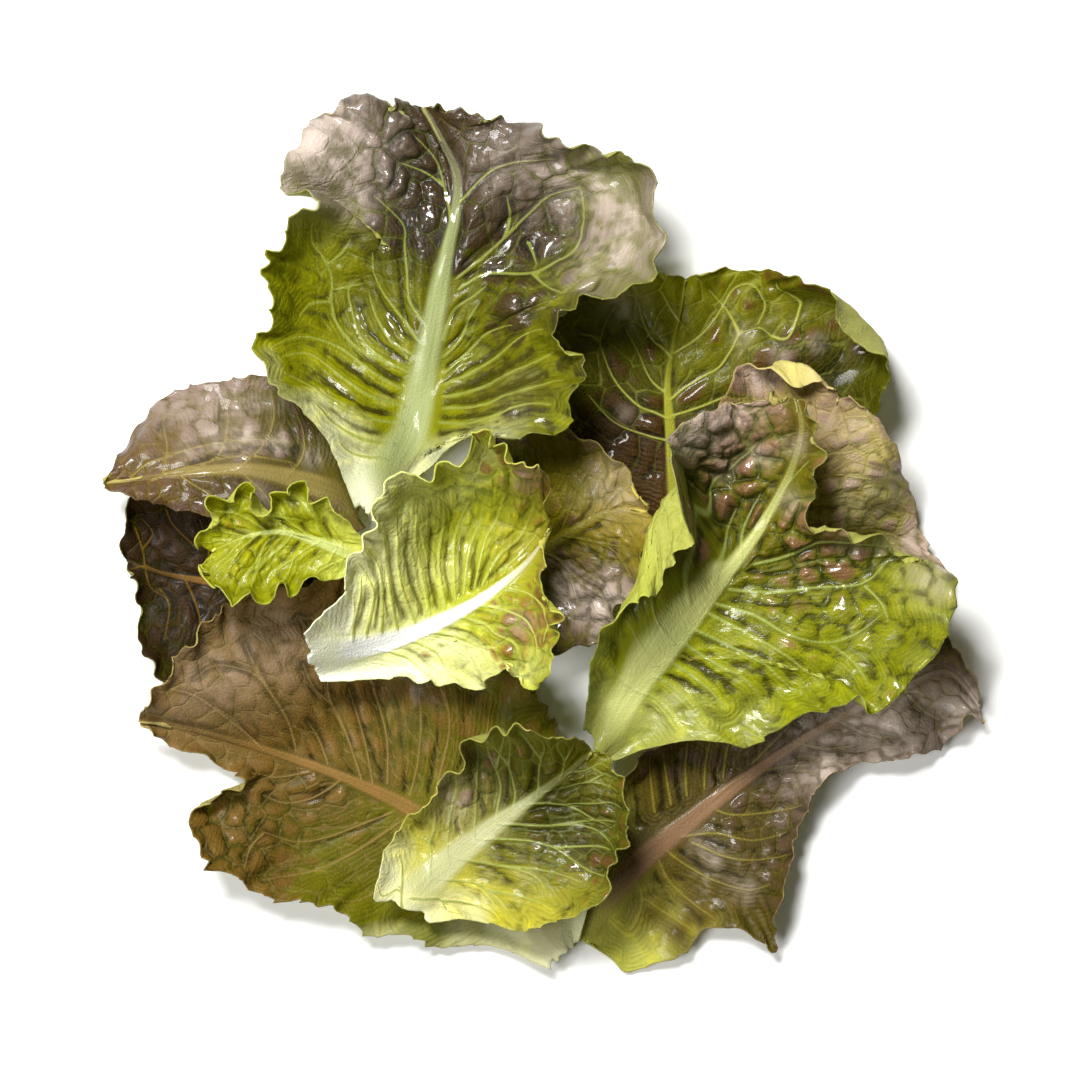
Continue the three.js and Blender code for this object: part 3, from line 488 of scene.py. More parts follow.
def curve_through(points):
    """Smooth curve through grid points: a function from share of length to millimetres, and the length."""
    dense = smooth((np.array(points, float) - MIDDLE) * [SQUARE, -SQUARE], 12)
    run = np.concatenate([[0.0], np.cumsum(np.hypot(*np.diff(dense, axis=0).T))])

    def at(share):
        want = np.clip(share, 0.0, 1.0) * run[-1]
        return np.stack([np.interp(want, run, dense[:, k]) for k in (0, 1)], axis=-1)

    return at, run[-1]


def spread(values, share):
    """Value at a share of the length, of numbers spaced evenly along it, eased between neighbours."""
    values = np.array(values, float)
    place = np.clip(share, 0.0, 0.999999) * (len(values) - 1)
    k = place.astype(int)
    return values[k] + (values[k + 1] - values[k]) * ease(place - k)


print("rib lengths in mm:", [round(float(curve_through(leaf["rib"])[1])) for leaf in LEAVES])


# %% Noise that is the same on every run
def chance(i, j, seed):
    """Repeatable number from 0 to 1 for each pair of whole numbers: the fraction of a large sine."""
    s = np.sin(i * 127.1 + j * 311.7 + seed * 74.7) * 43758.5453
    return s - np.floor(s)


def noise(x, y, seed):
    """Smooth noise from 0 to 1: chances at the corners of unit squares, eased between them."""
    i, j = np.floor(x), np.floor(y)
    s, t = ease(x - i), ease(y - j)
    low = chance(i, j, seed) * (1 - s) + chance(i + 1, j, seed) * s
    high = chance(i, j + 1, seed) * (1 - s) + chance(i + 1, j + 1, seed) * s
    return low * (1 - t) + high * t


def ridges(x, y, seed):
    """Sharp crests from 0 to 1 where smooth noise crosses a half: 1 - |2 noise - 1|."""
    return 1.0 - np.abs(2.0 * noise(x, y, seed) - 1.0)


def cells(x, y, seed):
    """Distance to the border between the nearest two of scattered points, and a chance for each cell."""
    i, j = np.floor(x), np.floor(y)
    first = np.full(np.shape(x), 9.0)
    second, luck = first.copy(), first.copy()
    for m in (-1, 0, 1):
        for n in (-1, 0, 1):
            px = i + m + 0.05 + 0.9 * chance(i + m, j + n, seed)
            py = j + n + 0.05 + 0.9 * chance(i + m, j + n, seed + 5)
            gap = np.hypot(x - px, y - py)
            luck = np.where(gap < first, chance(i + m, j + n, seed + 9), luck)
            second = np.minimum(np.maximum(gap, first), second)
            first = np.minimum(gap, first)
    return 0.5 * (second - first), luck


print("three chances:", chance(np.arange(3), 1, 0).round(2))

# %% The pile as a height map
CELLS = round(2 * HALF_MAP / CELL)
pile = np.zeros((CELLS, CELLS))


def raise_pile(points):
    """Enters points into the height map: each cell keeps the highest point that falls in it."""
    at = np.clip(np.floor((points[..., :2] + HALF_MAP) / CELL).astype(int), 0, CELLS - 1).reshape(-1, 2)
    np.maximum.at(pile, (at[:, 1], at[:, 0]), points[..., 2].ravel())


def window(values, radius, mean):
    """Largest or mean value within a radius in cells along the first axis, the ends repeated."""
    wide = np.pad(values, ((radius, radius), (0, 0)), mode="edge")
    views = np.stack([wide[k:k + len(values)] for k in range(2 * radius + 1)])
    return views.mean(0) if mean else views.max(0)


def bed_over_pile():
    """The next leaf's bed, as a function of plan x and y in millimetres, bilinear between cells."""
    field = pile
    for radius, mean in ((BRIDGE, False), (SOFTEN, True), (SOFTEN, True)):
        field = window(window(field, radius, mean).T, radius, mean).T

    def at(x, y):
        cx = np.clip((x + HALF_MAP) / CELL - 0.5, 0, CELLS - 1.001)
        cy = np.clip((y + HALF_MAP) / CELL - 0.5, 0, CELLS - 1.001)
        i, j = cy.astype(int), cx.astype(int)
        s, t = cy - i, cx - j
        low = field[i, j] * (1 - t) + field[i, j + 1] * t
        high = field[i + 1, j] * (1 - t) + field[i + 1, j + 1] * t
        return low * (1 - s) + high * s

    return at


def patches(spots, x, y):
    """Sum of round patches: amount times exp(-distance squared over radius squared)."""
    total = np.zeros(np.shape(x))
    for px, py, radius, amount in spots:
        gap = ((x - px) ** 2 + (y - py) ** 2) / radius**2
        total += amount * np.exp(-gap)
    return total


print("height map:", pile.shape, "cells of", CELL, "mm")

# %% [markdown]
# ## Side veins and furrows
#
# A lettuce leaf is held by side veins that leave the rib at a sharp angle, bend outwards and fork. Between
# their thick lower ends the blade sinks into furrows. Where the veins are plain to see they are drawn;
# elsewhere they grow by rule. Both end as lines on the unbent leaf, and each point of the leaf is given its
# distance to the nearest one. A material alone could draw the veins, but the blade has to swell up between
# them as well, so the mesh has to know them.

# %% Lines on a leaf
def grown_veins(count, seed, first, last):
    """Lines in u and v: on either side a count of veins that leave the rib, each with a fork half way."""
    lines = []
    for k in range(count):
        for side in (-1, 1):
            luck = [chance(k, side + 3 * n, seed) for n in range(5)]
            start = first + (last - first) * (k + 0.25 * side + 0.5 * luck[0]) / count
            v = np.linspace(0.0, 0.8 + 0.16 * luck[1], 7)
            gap = (last - first) / count
            u = start + 0.35 * gap * (luck[2] - 0.4) * np.sin(2.2 * v)
            u = u + 0.12 * gap * np.sin(9 * v + 6 * luck[3])
            lines.append(np.stack([u, side * v], axis=-1))
            fork = 2 + int(2 * luck[4])
            turn = (1 if luck[3] > 0.4 else -1) * gap * np.array([0.0, 0.28, 0.5, 0.62])
            branch = np.linspace(v[fork], min(v[fork] + 0.42, 0.95), 4)
            lines.append(np.stack([u[fork] + turn, side * branch], axis=-1))
    return lines


def grown_furrows(count, seed, first, last, reach):
    """Short lines in u and v beside the rib, midway between the places where side veins leave it."""
    lines = []
    for k in range(count):
        for side in (-1, 1):
            luck = [chance(k, side + 3 * n, seed) for n in range(2)]
            start = first + (last - first) * (k + 0.5 + 0.25 * side + 0.3 * luck[0]) / count
            v = np.linspace(0.05, reach * (0.6 + 0.5 * luck[1]), 4)
            lines.append(np.stack([start + 0.01 * np.sin(6 * v + k), side * v], axis=-1))
    return lines


def nearest_line(lines, x, y):
    """Signed distance to the nearest line, positive on its left, and the share of its length there."""
    best, along = np.full(x.shape, 99.0), np.zeros(x.shape)
    for line in lines:
        p, step = line[:-1], np.diff(line, axis=0)
        gx, gy = x[..., None] - p[:, 0], y[..., None] - p[:, 1]
        t = np.clip((gx * step[:, 0] + gy * step[:, 1]) / np.maximum((step**2).sum(1), 1e-9), 0, 1)
        gap = np.hypot(gx - t * step[:, 0], gy - t * step[:, 1])
        k = gap.argmin(-1)[..., None]
        near = np.take_along_axis(gap, k, -1)[..., 0]
        turned = np.take_along_axis(step[:, 0] * gy - step[:, 1] * gx, k, -1)[..., 0]
        share = (k[..., 0] + np.take_along_axis(t, k, -1)[..., 0]) / len(p)
        closer = near < np.abs(best)
        best = np.where(closer, np.where(turned < 0, -near, near), best)
        along = np.where(closer, share, along)
    return best, along


def on_leaf(drawn, grown, px, py, w, unbent):
    """Lines on the unbent leaf in millimetres, from drawn grid points and from lines in u and v."""
    rows, columns = unbent.shape[0] - 1, unbent.shape[1] - 1
    lines = []
    for line in drawn:
        gap = np.stack([np.hypot(px - x, py - y) + FAR * (w > 0.94) for x, y in line])
        lines.append(smooth(unbent.reshape(-1, 2)[gap.reshape(len(line), -1).argmin(1)], 5))
    for line in grown:
        i = np.clip(np.round(line[:, 0] * rows), 0, rows).astype(int)
        j = np.clip(np.round((line[:, 1] + 1) / 2 * columns), 0, columns).astype(int)
        lines.append(smooth(unbent[i, j], 4))
    return lines


print("a grown vein in u and v:", grown_veins(3, 1.0, *VEIN_ENDS)[0].round(2).tolist())

# %% [markdown]
# ## The sheet of one leaf
#
# The plan point is a mix of rib and margin. The outer strip of each half bends by the leaf's `turn` and
# then runs straight. Heights add up from the bed, the arch of the rib, the rise, the waves and the folds.
# Teeth, frills and blisters follow, along the sheet's own normal. Cloth simulation could crumple a sheet,
# but a formula puts each fold where the photo shows one.

# %% Normals and teeth
def normals(points):
    """Unit normals of a grid of points: across times along, normalised."""
    n = np.cross(np.gradient(points, axis=1), np.gradient(points, axis=0))
    return n / np.maximum(np.linalg.norm(n, axis=-1, keepdims=True), 1e-9)


def teeth(run, seed):
    """Pointed teeth along a margin, each of its own size: the cube of the share of the way to its point."""
    place = run / TOOTH + 1.2 * noise(run / 19.0, 0 * run, seed)
    k = np.floor(place)
    peak = 0.5 + 0.3 * (chance(k, 1, seed) - 0.5)
    side = np.where(place - k < peak, (place - k) / peak, (1 - place + k) / (1 - peak))
    return (0.3 + 1.9 * chance(k, 2, seed) ** 2) * side**3


print("teeth along 14 mm of margin:", teeth(np.arange(0.0, 14.0, 2.0), 1.0).round(2).tolist())


# %% The form of one leaf
def leaf_form(leaf, look, bed, number):
    """Upper and lower face of a leaf as grids of points in millimetres, and the fields for its colours."""
    rows, columns = look["size"]
    u = np.linspace(0.0, 1.0, rows + 1)[:, None] * np.ones((1, columns + 1))
    v = np.linspace(-1.0, 1.0, columns + 1)[None, :] * np.ones((rows + 1, 1))
    w, right = np.abs(v), v >= 0
    seed = 10.0 * number
    rib, rib_length = curve_through(leaf["rib"])
    sides = {s: curve_through(leaf[s]) for s in ("left", "right")}
    pick = lambda f: np.where(right if f("left").ndim == 2 else right[..., None], f("right"), f("left"))
    # Plan: rib point r, margin point m, width between them, run along the margin.
    r = rib(u)
    leant = u + VEIN_LEAN * u * (1 - u)
    m = pick(lambda s: sides[s][0](leant))
    run = pick(lambda s: sides[s][1] * leant)
    width = np.hypot(*np.moveaxis(m - r, -1, 0))
    step = rib(u + 0.01) - rib(u - 0.01)
    tangent = step / np.hypot(*np.moveaxis(step, -1, 0))[..., None]

    # Margin strip: an arc by the angle turn, then straight on by what is past the arc.
    share = pick(lambda s: leaf.get("strip", {}).get(s, EDGE_STRIP) + 0 * u)
    full = np.radians(pick(lambda s: spread(leaf["turn"][s], u)))
    turn = np.where(np.abs(full) < 0.01, 0.01, full)
    radius = BEND_SHARE * share * width / turn
    quarter = np.minimum(np.abs(turn), math.pi / 2)
    inner = width - np.abs(radius) * np.sin(quarter) - (1 - BEND_SHARE) * share * width * np.cos(quarter)
    outer = np.clip((w - 1 + share) / share, 0, 1)
    bent = np.clip(outer / BEND_SHARE, 0, 1) * turn
    tooth = teeth(run, seed + 3 * right) * ease((w - 0.9) / 0.1) * ease(u * 8)
    tooth = tooth * look.get("teeth", 1.0) * (1.7 - 1.4 * u)
    lobe = noise(run / LOBE, 0 * run, seed + 3 * right)
    lobe = lobe + 0.5 * noise(run / LOBELET, 0 * run, seed + 4 + 3 * right)
    lobe = look.get("lobes", 3.0) * (lobe - 0.75) * w**6 * ease(u * 5)
    past = np.maximum(outer - BEND_SHARE, 0) * share * width + tooth + lobe
    reach = np.minimum(w, 1 - share) / (1 - share) * inner + radius * np.sin(bent) + past * np.cos(bent)
    curl = radius * (1 - np.cos(bent)) + past * np.sin(bent)
    bow = VEIN_BOW * width * 4 * w * (1 - w)
    torn = TEAR * (noise(v * 6, 0 * v, seed + 1) - 0.5) * ease(1 - u / 0.05)
    plan = r + (m - r) * (reach / width)[..., None] + tangent * (bow - torn)[..., None]
    unbent = r + (m - r) * w[..., None] + tangent * bow[..., None]
    x, y = plan[..., 0], plan[..., 1]
    fx, fy = unbent[..., 0], unbent[..., 1]
    px, py = x / SQUARE + MIDDLE[0], MIDDLE[1] - y / SQUARE

    # Heights of the sheet over its bed, with room for the rib's keel.
    rise = np.where(right, leaf["rise"][1], leaf["rise"][0]) * w**2
    rise = rise * np.sin(math.pi * np.clip(u * 0.9 + 0.05, 0, 1))
    shift = leaf["phase"] + np.where(right, 2.0, 0.0) + 1.5 * np.sin(5 * u)
    wave = 0.5 + 0.5 * np.sin(2 * math.pi * leaf["ruffle"][1] * u + shift)
    waves = leaf["ruffle"][0] * w**3 * ease(u * 2.5) * wave
    swell = SWELL * (1 + np.sin(x / 9 + leaf["phase"]) * np.sin(y / 11 + 2 * leaf["phase"])) * w
    lifted = spread(leaf["arch"], u) + rise + waves + curl + swell + patches(leaf["dents"], px, py)
    own = np.where(lifted >= SETTLE, lifted, SETTLE * np.exp(np.minimum(lifted - SETTLE, 0) / SETTLE))
    depth = leaf["rib_depth"] * (1 - KEEL_TAPER * u)
    keel = np.maximum((depth - BLADE) * (1 - ease(w * 1.4)), 0)
    z = bed(x, y) + (0 if "rests" in leaf else GAP) + BLADE + keel + own
    sheet = np.dstack([x, y, z])

    # Distances to the rib, to side veins and to furrows.
    half_rib = 0.5 * leaf["rib_width"] * (1 - RIB_TAPER * np.sqrt(u))
    off = w * width
    on_rib = off / half_rib
    count, drawn = (look["veins"], []) if isinstance(look["veins"], int) else (0, look["veins"])
    veins = on_leaf(drawn, grown_veins(count, seed + 11, *VEIN_ENDS), px, py, w, unbent)
    line, along = nearest_line(veins, fx, fy)
    near = np.abs(line)
    thick = look["thick"] * (1 - 0.7 * along) * (1 - 0.3 * u) + 0.12
    count, drawn = (look["furrows"], []) if isinstance(look["furrows"], int) else (0, look["furrows"])
    furrows = on_leaf(drawn, grown_furrows(count, seed + 12, *FURROW_ENDS, 0.5), px, py, w, unbent)
    groove, spent = nearest_line(furrows, fx, fy)
    groove = groove + 1.6 * (noise(fx / 6, fy / 6, seed + 13) - 0.5)
    furrow = np.exp(-((np.abs(groove) / GROOVE) ** 1.2)) * (1 - spent) ** 0.6 * ease(on_rib - 0.7)
    furrow = furrow * (0.45 + noise(fx / 9, fy / 9, seed + 14))

    # Relief: belly between veins, blisters, vein ridges, frills, folds and the rib's bank.
    clear = np.maximum(np.minimum(near - 0.6 * thick, off - half_rib), 0)
    upper_part = ease((u - 0.15) / 0.4)
    belly = look["belly"] * (1 - np.exp(-((clear / BULGE) ** 2)))
    belly = belly * (1.4 * upper_part - 0.4) * (1 - 0.5 * w**4)
    size = look["cells"]
    warp = 3.0 * (noise(fx / 8, fy / 8, seed + 6) - 0.5)
    border, luck = cells((fx + warp) / size, (fy - warp) / size, seed + 7)
    small_size = SMALLER * size
    fine, small_luck = cells(fx / small_size + 40, fy / small_size + 40, seed + 8)
    border = border * size
    big = (1 - np.exp(-((border / 1.9) ** 1.5))) * (0.35 + 1.1 * luck)
    small = (1 - np.exp(-((fine * SMALLER * size / 0.9) ** 1.4))) * (0.4 + small_luck)
    height = np.maximum(look["blister"] + patches(look["bumps"], px, py), 0)
    puff = 0.75 * big + 0.25 * small
    swelling = np.clip(height, 0, 1)
    blister = height * (puff - 0.35) * ease(clear / 3.0) * (0.35 + 0.65 * upper_part)
    ridge = 0.55 * thick * np.exp(-((near / thick) ** 2)) * ease(on_rib)
    frills = look.get("frills", 1.5)
    frill = frills * w**4 * ease(u * 4) * np.sin(run / FRILL + 7 * noise(run / 17, 0 * run, seed + 9))
    wx, wy = fx + warp + 0.7 * np.sin(fy / 3), fy - warp + 0.7 * np.sin(fx / 2.7)
    across = u * rib_length + 3.0 * noise(fx / 8, fy / 8, seed + 16)
    folds = ridges(across / PLEAT, v * width / 15, seed + 10) - 0.6
    crumple = 0.65 * ridges(wx / FOLD, wy / FOLD, seed + 15)
    crumple = crumple + 0.35 * ridges(wx / CRUMB, wy / CRUMB, seed + 17) - 0.6
    crinkled = look.get("crease", 1.0) * (0.35 + 0.65 * np.clip(height / 0.7, 0, 1))
    crease = crinkled * (1.1 * folds * (1 - 0.75 * upper_part) - 1.1 * crumple)
    crease += 0.8 * (noise(fx / 13, fy / 13, seed + 18) - 0.5)
    bank = 0.9 * np.sqrt(np.clip(1 - on_rib**2, 0, 1)) * (1 - 0.6 * u)
    local = belly + blister + ridge - look["deep"] * furrow + crease * ease(on_rib - 0.8)
    broad = window(window(local, 5, True).T, 5, True).T
    close = window(window(local, 2, True).T, 2, True).T
    cavity = np.clip((local - broad) / 1.1 + (local - close) / 0.55, -1, 1)
    upper = sheet + normals(sheet) * (local + frill + bank)[..., None]
    thin = BLADE * (1 - 0.4 * w**4)
    lower = upper - normals(upper) * (thin + bank)[..., None]
    lower[..., 2] -= np.maximum(depth - BLADE, 0) * np.sqrt(np.clip(1 - on_rib**2, 0, 1))
    lower[..., 2] = np.maximum(lower[..., 2], LOWEST)
    upper[..., 2] = np.maximum(upper[..., 2], lower[..., 2] + THINNEST * (lower[..., 2] < LOWEST + 0.05))

    # Fields for the colours.
    blush = spread(look["blush"], 0.65 * u + 0.35 * u * w) + patches(look["spots"], px, py)
    blush += 0.25 * ease((w - 0.8) / 0.2) * (blush > 0.2)
    edge = np.minimum((1 - w) * width, (1 - u) * rib_length)
    # Patches of painted sheen, standing in for the window light's reflection, and of painted shade.
    bloom, shade = (np.clip(patches(look.get(key, []), px, py), 0, 1) for key in ("sheen", "shade"))
    fields = dict(
        rib=on_rib, edge=edge, puff=0.5 + (puff - 0.5) * swelling, blush=blush, line=line, near=near,
        thick=thick, border=border, furrow=furrow, cavity=cavity, shade=shade, bloom=bloom)
    mottle = 0.6 * noise(fx / 22, fy / 22, seed + 20) + 0.4 * noise(fx / 9, fy / 9, seed + 21)
    cloud = 0.5 * noise(fx / 7, fy / 7, seed + 22) + 0.3 * noise(fx / 3, fy / 3, seed + 23)
    cloud += 0.2 * noise(fx / 1.5, fy / 1.5, seed + 24)
    fields.update(mottle=mottle, cloud=cloud)
    fields["flat"] = np.dstack([fx + warp, fy - warp, seed + 0 * u])
    fields["share"] = np.dstack([u, w, 1.0 * right])
    return upper, lower, fields


print("points on the upper faces:", sum((rows + 1) * (columns + 1) for rows, columns in grids))

# %% [markdown]
# ## From sheet to mesh
#
# Upper and lower face share one grid of quads, and a row of quads closes the rim. The fields ride on the
# mesh as attributes, in millimetres where they are lengths. A Solidify modifier could thicken one face, but
# blade and rib need different thicknesses. foreach_set writes whole arrays, so this takes little time.

# %% A closed mesh from two faces
def leaf_mesh(name, upper, lower, fields):
    """One closed mesh object of a leaf, smooth shaded, with its fields as attributes."""
    rows, columns = upper.shape[0] - 1, upper.shape[1] - 1
    grid = np.arange((rows + 1) * (columns + 1)).reshape(rows + 1, columns + 1)
    count = grid.size
    quads = np.stack([grid[:-1, :-1], grid[:-1, 1:], grid[1:, 1:], grid[1:, :-1]], axis=-1).reshape(-1, 4)
    loop = np.concatenate([grid[0, :-1], grid[:-1, -1], grid[-1, :0:-1], grid[:0:-1, 0]])
    after = np.roll(loop, -1)
    rim = np.stack([loop, loop + count, after + count, after], axis=-1)
    faces = np.concatenate([quads, quads[:, ::-1] + count, rim])
    mesh = bpy.data.meshes.new(name)
    mesh.vertices.add(2 * count)
    points = np.concatenate([upper.reshape(-1, 3), lower.reshape(-1, 3)]) * MM
    mesh.vertices.foreach_set("co", points.astype(np.float32).ravel())
    mesh.loops.add(faces.size)
    mesh.loops.foreach_set("vertex_index", faces.astype(np.int32).ravel())
    mesh.polygons.add(len(faces))
    mesh.polygons.foreach_set("loop_start", np.arange(0, faces.size, 4, dtype=np.int32))
    mesh.polygons.foreach_set("use_smooth", np.ones(len(faces), bool))
    mesh.update(calc_edges=True)
    for key, value in fields.items():
        both = np.concatenate([value, value]).astype(np.float32).ravel()
        kind, part = ("FLOAT_VECTOR", "vector") if value.ndim == 3 else ("FLOAT", "value")
        mesh.attributes.new(key, kind, "POINT").data.foreach_set(part, both)
    under = np.repeat([0.0, 1.0], count).astype(np.float32)
    mesh.attributes.new("under", "FLOAT", "POINT").data.foreach_set("value", under)
    made = bpy.data.objects.new(name, mesh)
    bpy.context.scene.collection.objects.link(made)
    return made


print("triangles to come:", sum(4 * (rows * columns + rows + columns) for rows, columns in grids))

# %% [markdown]
# ## Writing materials as sums
#
# Nodes can be joined by hand in the editor, but a long formula is easier to read as a sum. A `Wire` is one
# output in a node tree. Arithmetic on wires adds Math nodes, and `node` adds any other.

# %% The class Wire
class Wire:
    """An output socket of a material's node tree, or the tree alone to start from."""

    def __init__(self, tree, socket=None):
        self.tree, self.socket = tree, socket

    def node(self, kind, settings=None, inputs=None, output=0):
        """A node of any type: its own settings first, then values or wires for its inputs."""
        made = self.tree.nodes.new(kind)
        for key, value in (settings or {}).items():
            setattr(made, key, value)
        for key, value in (inputs or {}).items():
            if isinstance(value, Wire):
                self.tree.links.new(value.socket, made.inputs[key])
            else:
                made.inputs[key].default_value = value
        return Wire(self.tree, made.outputs[output]) if made.outputs else made

    def math(self, operation, *values, clamp=False):
        """A Math node on the given values in order."""
        settings = {"operation": operation, "use_clamp": clamp}
        return self.node("ShaderNodeMath", settings, dict(enumerate(values)))

    def __add__(self, other): return self.math("ADD", self, other)
    def __radd__(self, other): return self.math("ADD", other, self)
    def __sub__(self, other): return self.math("SUBTRACT", self, other)
    def __rsub__(self, other): return self.math("SUBTRACT", other, self)
    def __mul__(self, other): return self.math("MULTIPLY", self, other)
    def __rmul__(self, other): return self.math("MULTIPLY", other, self)
    def __pow__(self, other): return self.math("POWER", self, other)

    def clamp(self): return self.math("ADD", self, 0.0, clamp=True)
    def most(self, other): return self.math("MAXIMUM", self, other)

    def step(self, low, high):
        """0 below low and 1 above high, eased between; the other way round where low is above high."""
        settings = {"interpolation_type": "SMOOTHSTEP"}
        return self.node("ShaderNodeMapRange", settings, {0: self, 1: low, 2: high})

    def field(self, name, vector=False):
        """A field of the mesh by name."""
        output = "Vector" if vector else "Fac"
        return self.node("ShaderNodeAttribute", {"attribute_name": name}, output=output)

    def vector(self, operation, other):
        """A Vector Math node on this and another vector or colour."""
        return self.node("ShaderNodeVectorMath", {"operation": operation}, {0: self, 1: other})

    def mix(self, other, share):
        """This colour moved towards another by a share from 0 to 1."""
        return self.node("ShaderNodeMix", {"data_type": "RGBA"}, {0: share, 6: self, 7: other}, output=2)

    def ramp(self, colours):
        """A colour ramp read by this number, with the colours evenly spaced."""
        made = self.tree.nodes.new("ShaderNodeValToRGB")
        elements = made.color_ramp.elements
        while len(elements) < len(colours):
            elements.new(0.5)
        for k, colour in enumerate(colours):
            elements[k].position = k / (len(colours) - 1)
            elements[k].color = colour
        self.tree.links.new(self.socket, made.inputs[0])
        return Wire(self.tree, made.outputs[0])

    def noise(self, vector, scale, detail):
        """Noise from 0 to 1 on a vector's first two numbers."""
        inputs = {"Vector": vector, "Scale": scale, "Detail": detail}
        return self.node("ShaderNodeTexNoise", {"noise_dimensions": "2D"}, inputs)

    def net(self, vector, width):
        """Distance in millimetres to the nearest line of a net with meshes of this width."""
        cells = self.node(
            "ShaderNodeTexVoronoi", {"feature": "DISTANCE_TO_EDGE", "voronoi_dimensions": "2D"},
            {"Vector": vector, "Scale": 1 / width})
        return cells * width


print("a Wire can", ", ".join(name for name in vars(Wire) if not name.startswith("_")))

# %% Colours
GRAIN = 1.1                      # noise waves in a millimetre
MESH = 2.6                       # width of a mesh of the fine vein net, in millimetres
STREAKS = (4.0, 60.0, 1.0)       # how often the rib's streaks change along it and across it
RIDGE_LIGHT = (1.7, 1.6, 1.0)        # painted light: what the blade's colour is multiplied by on ridges
HOLLOW_SHADE = (0.2, 0.17, 0.05)       # painted shade: the same in hollows
PALER = (0.28, 0.28, 0.09)       # what is added to it on the underside
SHEEN_TINT = (0.6, 0.49, 0.41, 1.0)   # colour of the painted sheen, for the window light's reflection
GLOW = (0.5, 0.52, 0.03, 1.0)    # colour of light that comes through the blade


def rgb(code, gain=1.0):
    """Linear colour of a six-digit screen colour: channel c becomes ((c + 0.055) / 1.055) ** 2.4."""
    channels = [int(code[k:k + 2], 16) / 255 for k in (0, 2, 4)]
    return [gain * (c / 12.92 if c < 0.04045 else ((c + 0.055) / 1.055) ** 2.4) for c in channels] + [1.0]


print("pigment of the right leaf, linear:", [round(c, 3) for c in rgb(LOOKS["leaf_right"]["red"])])
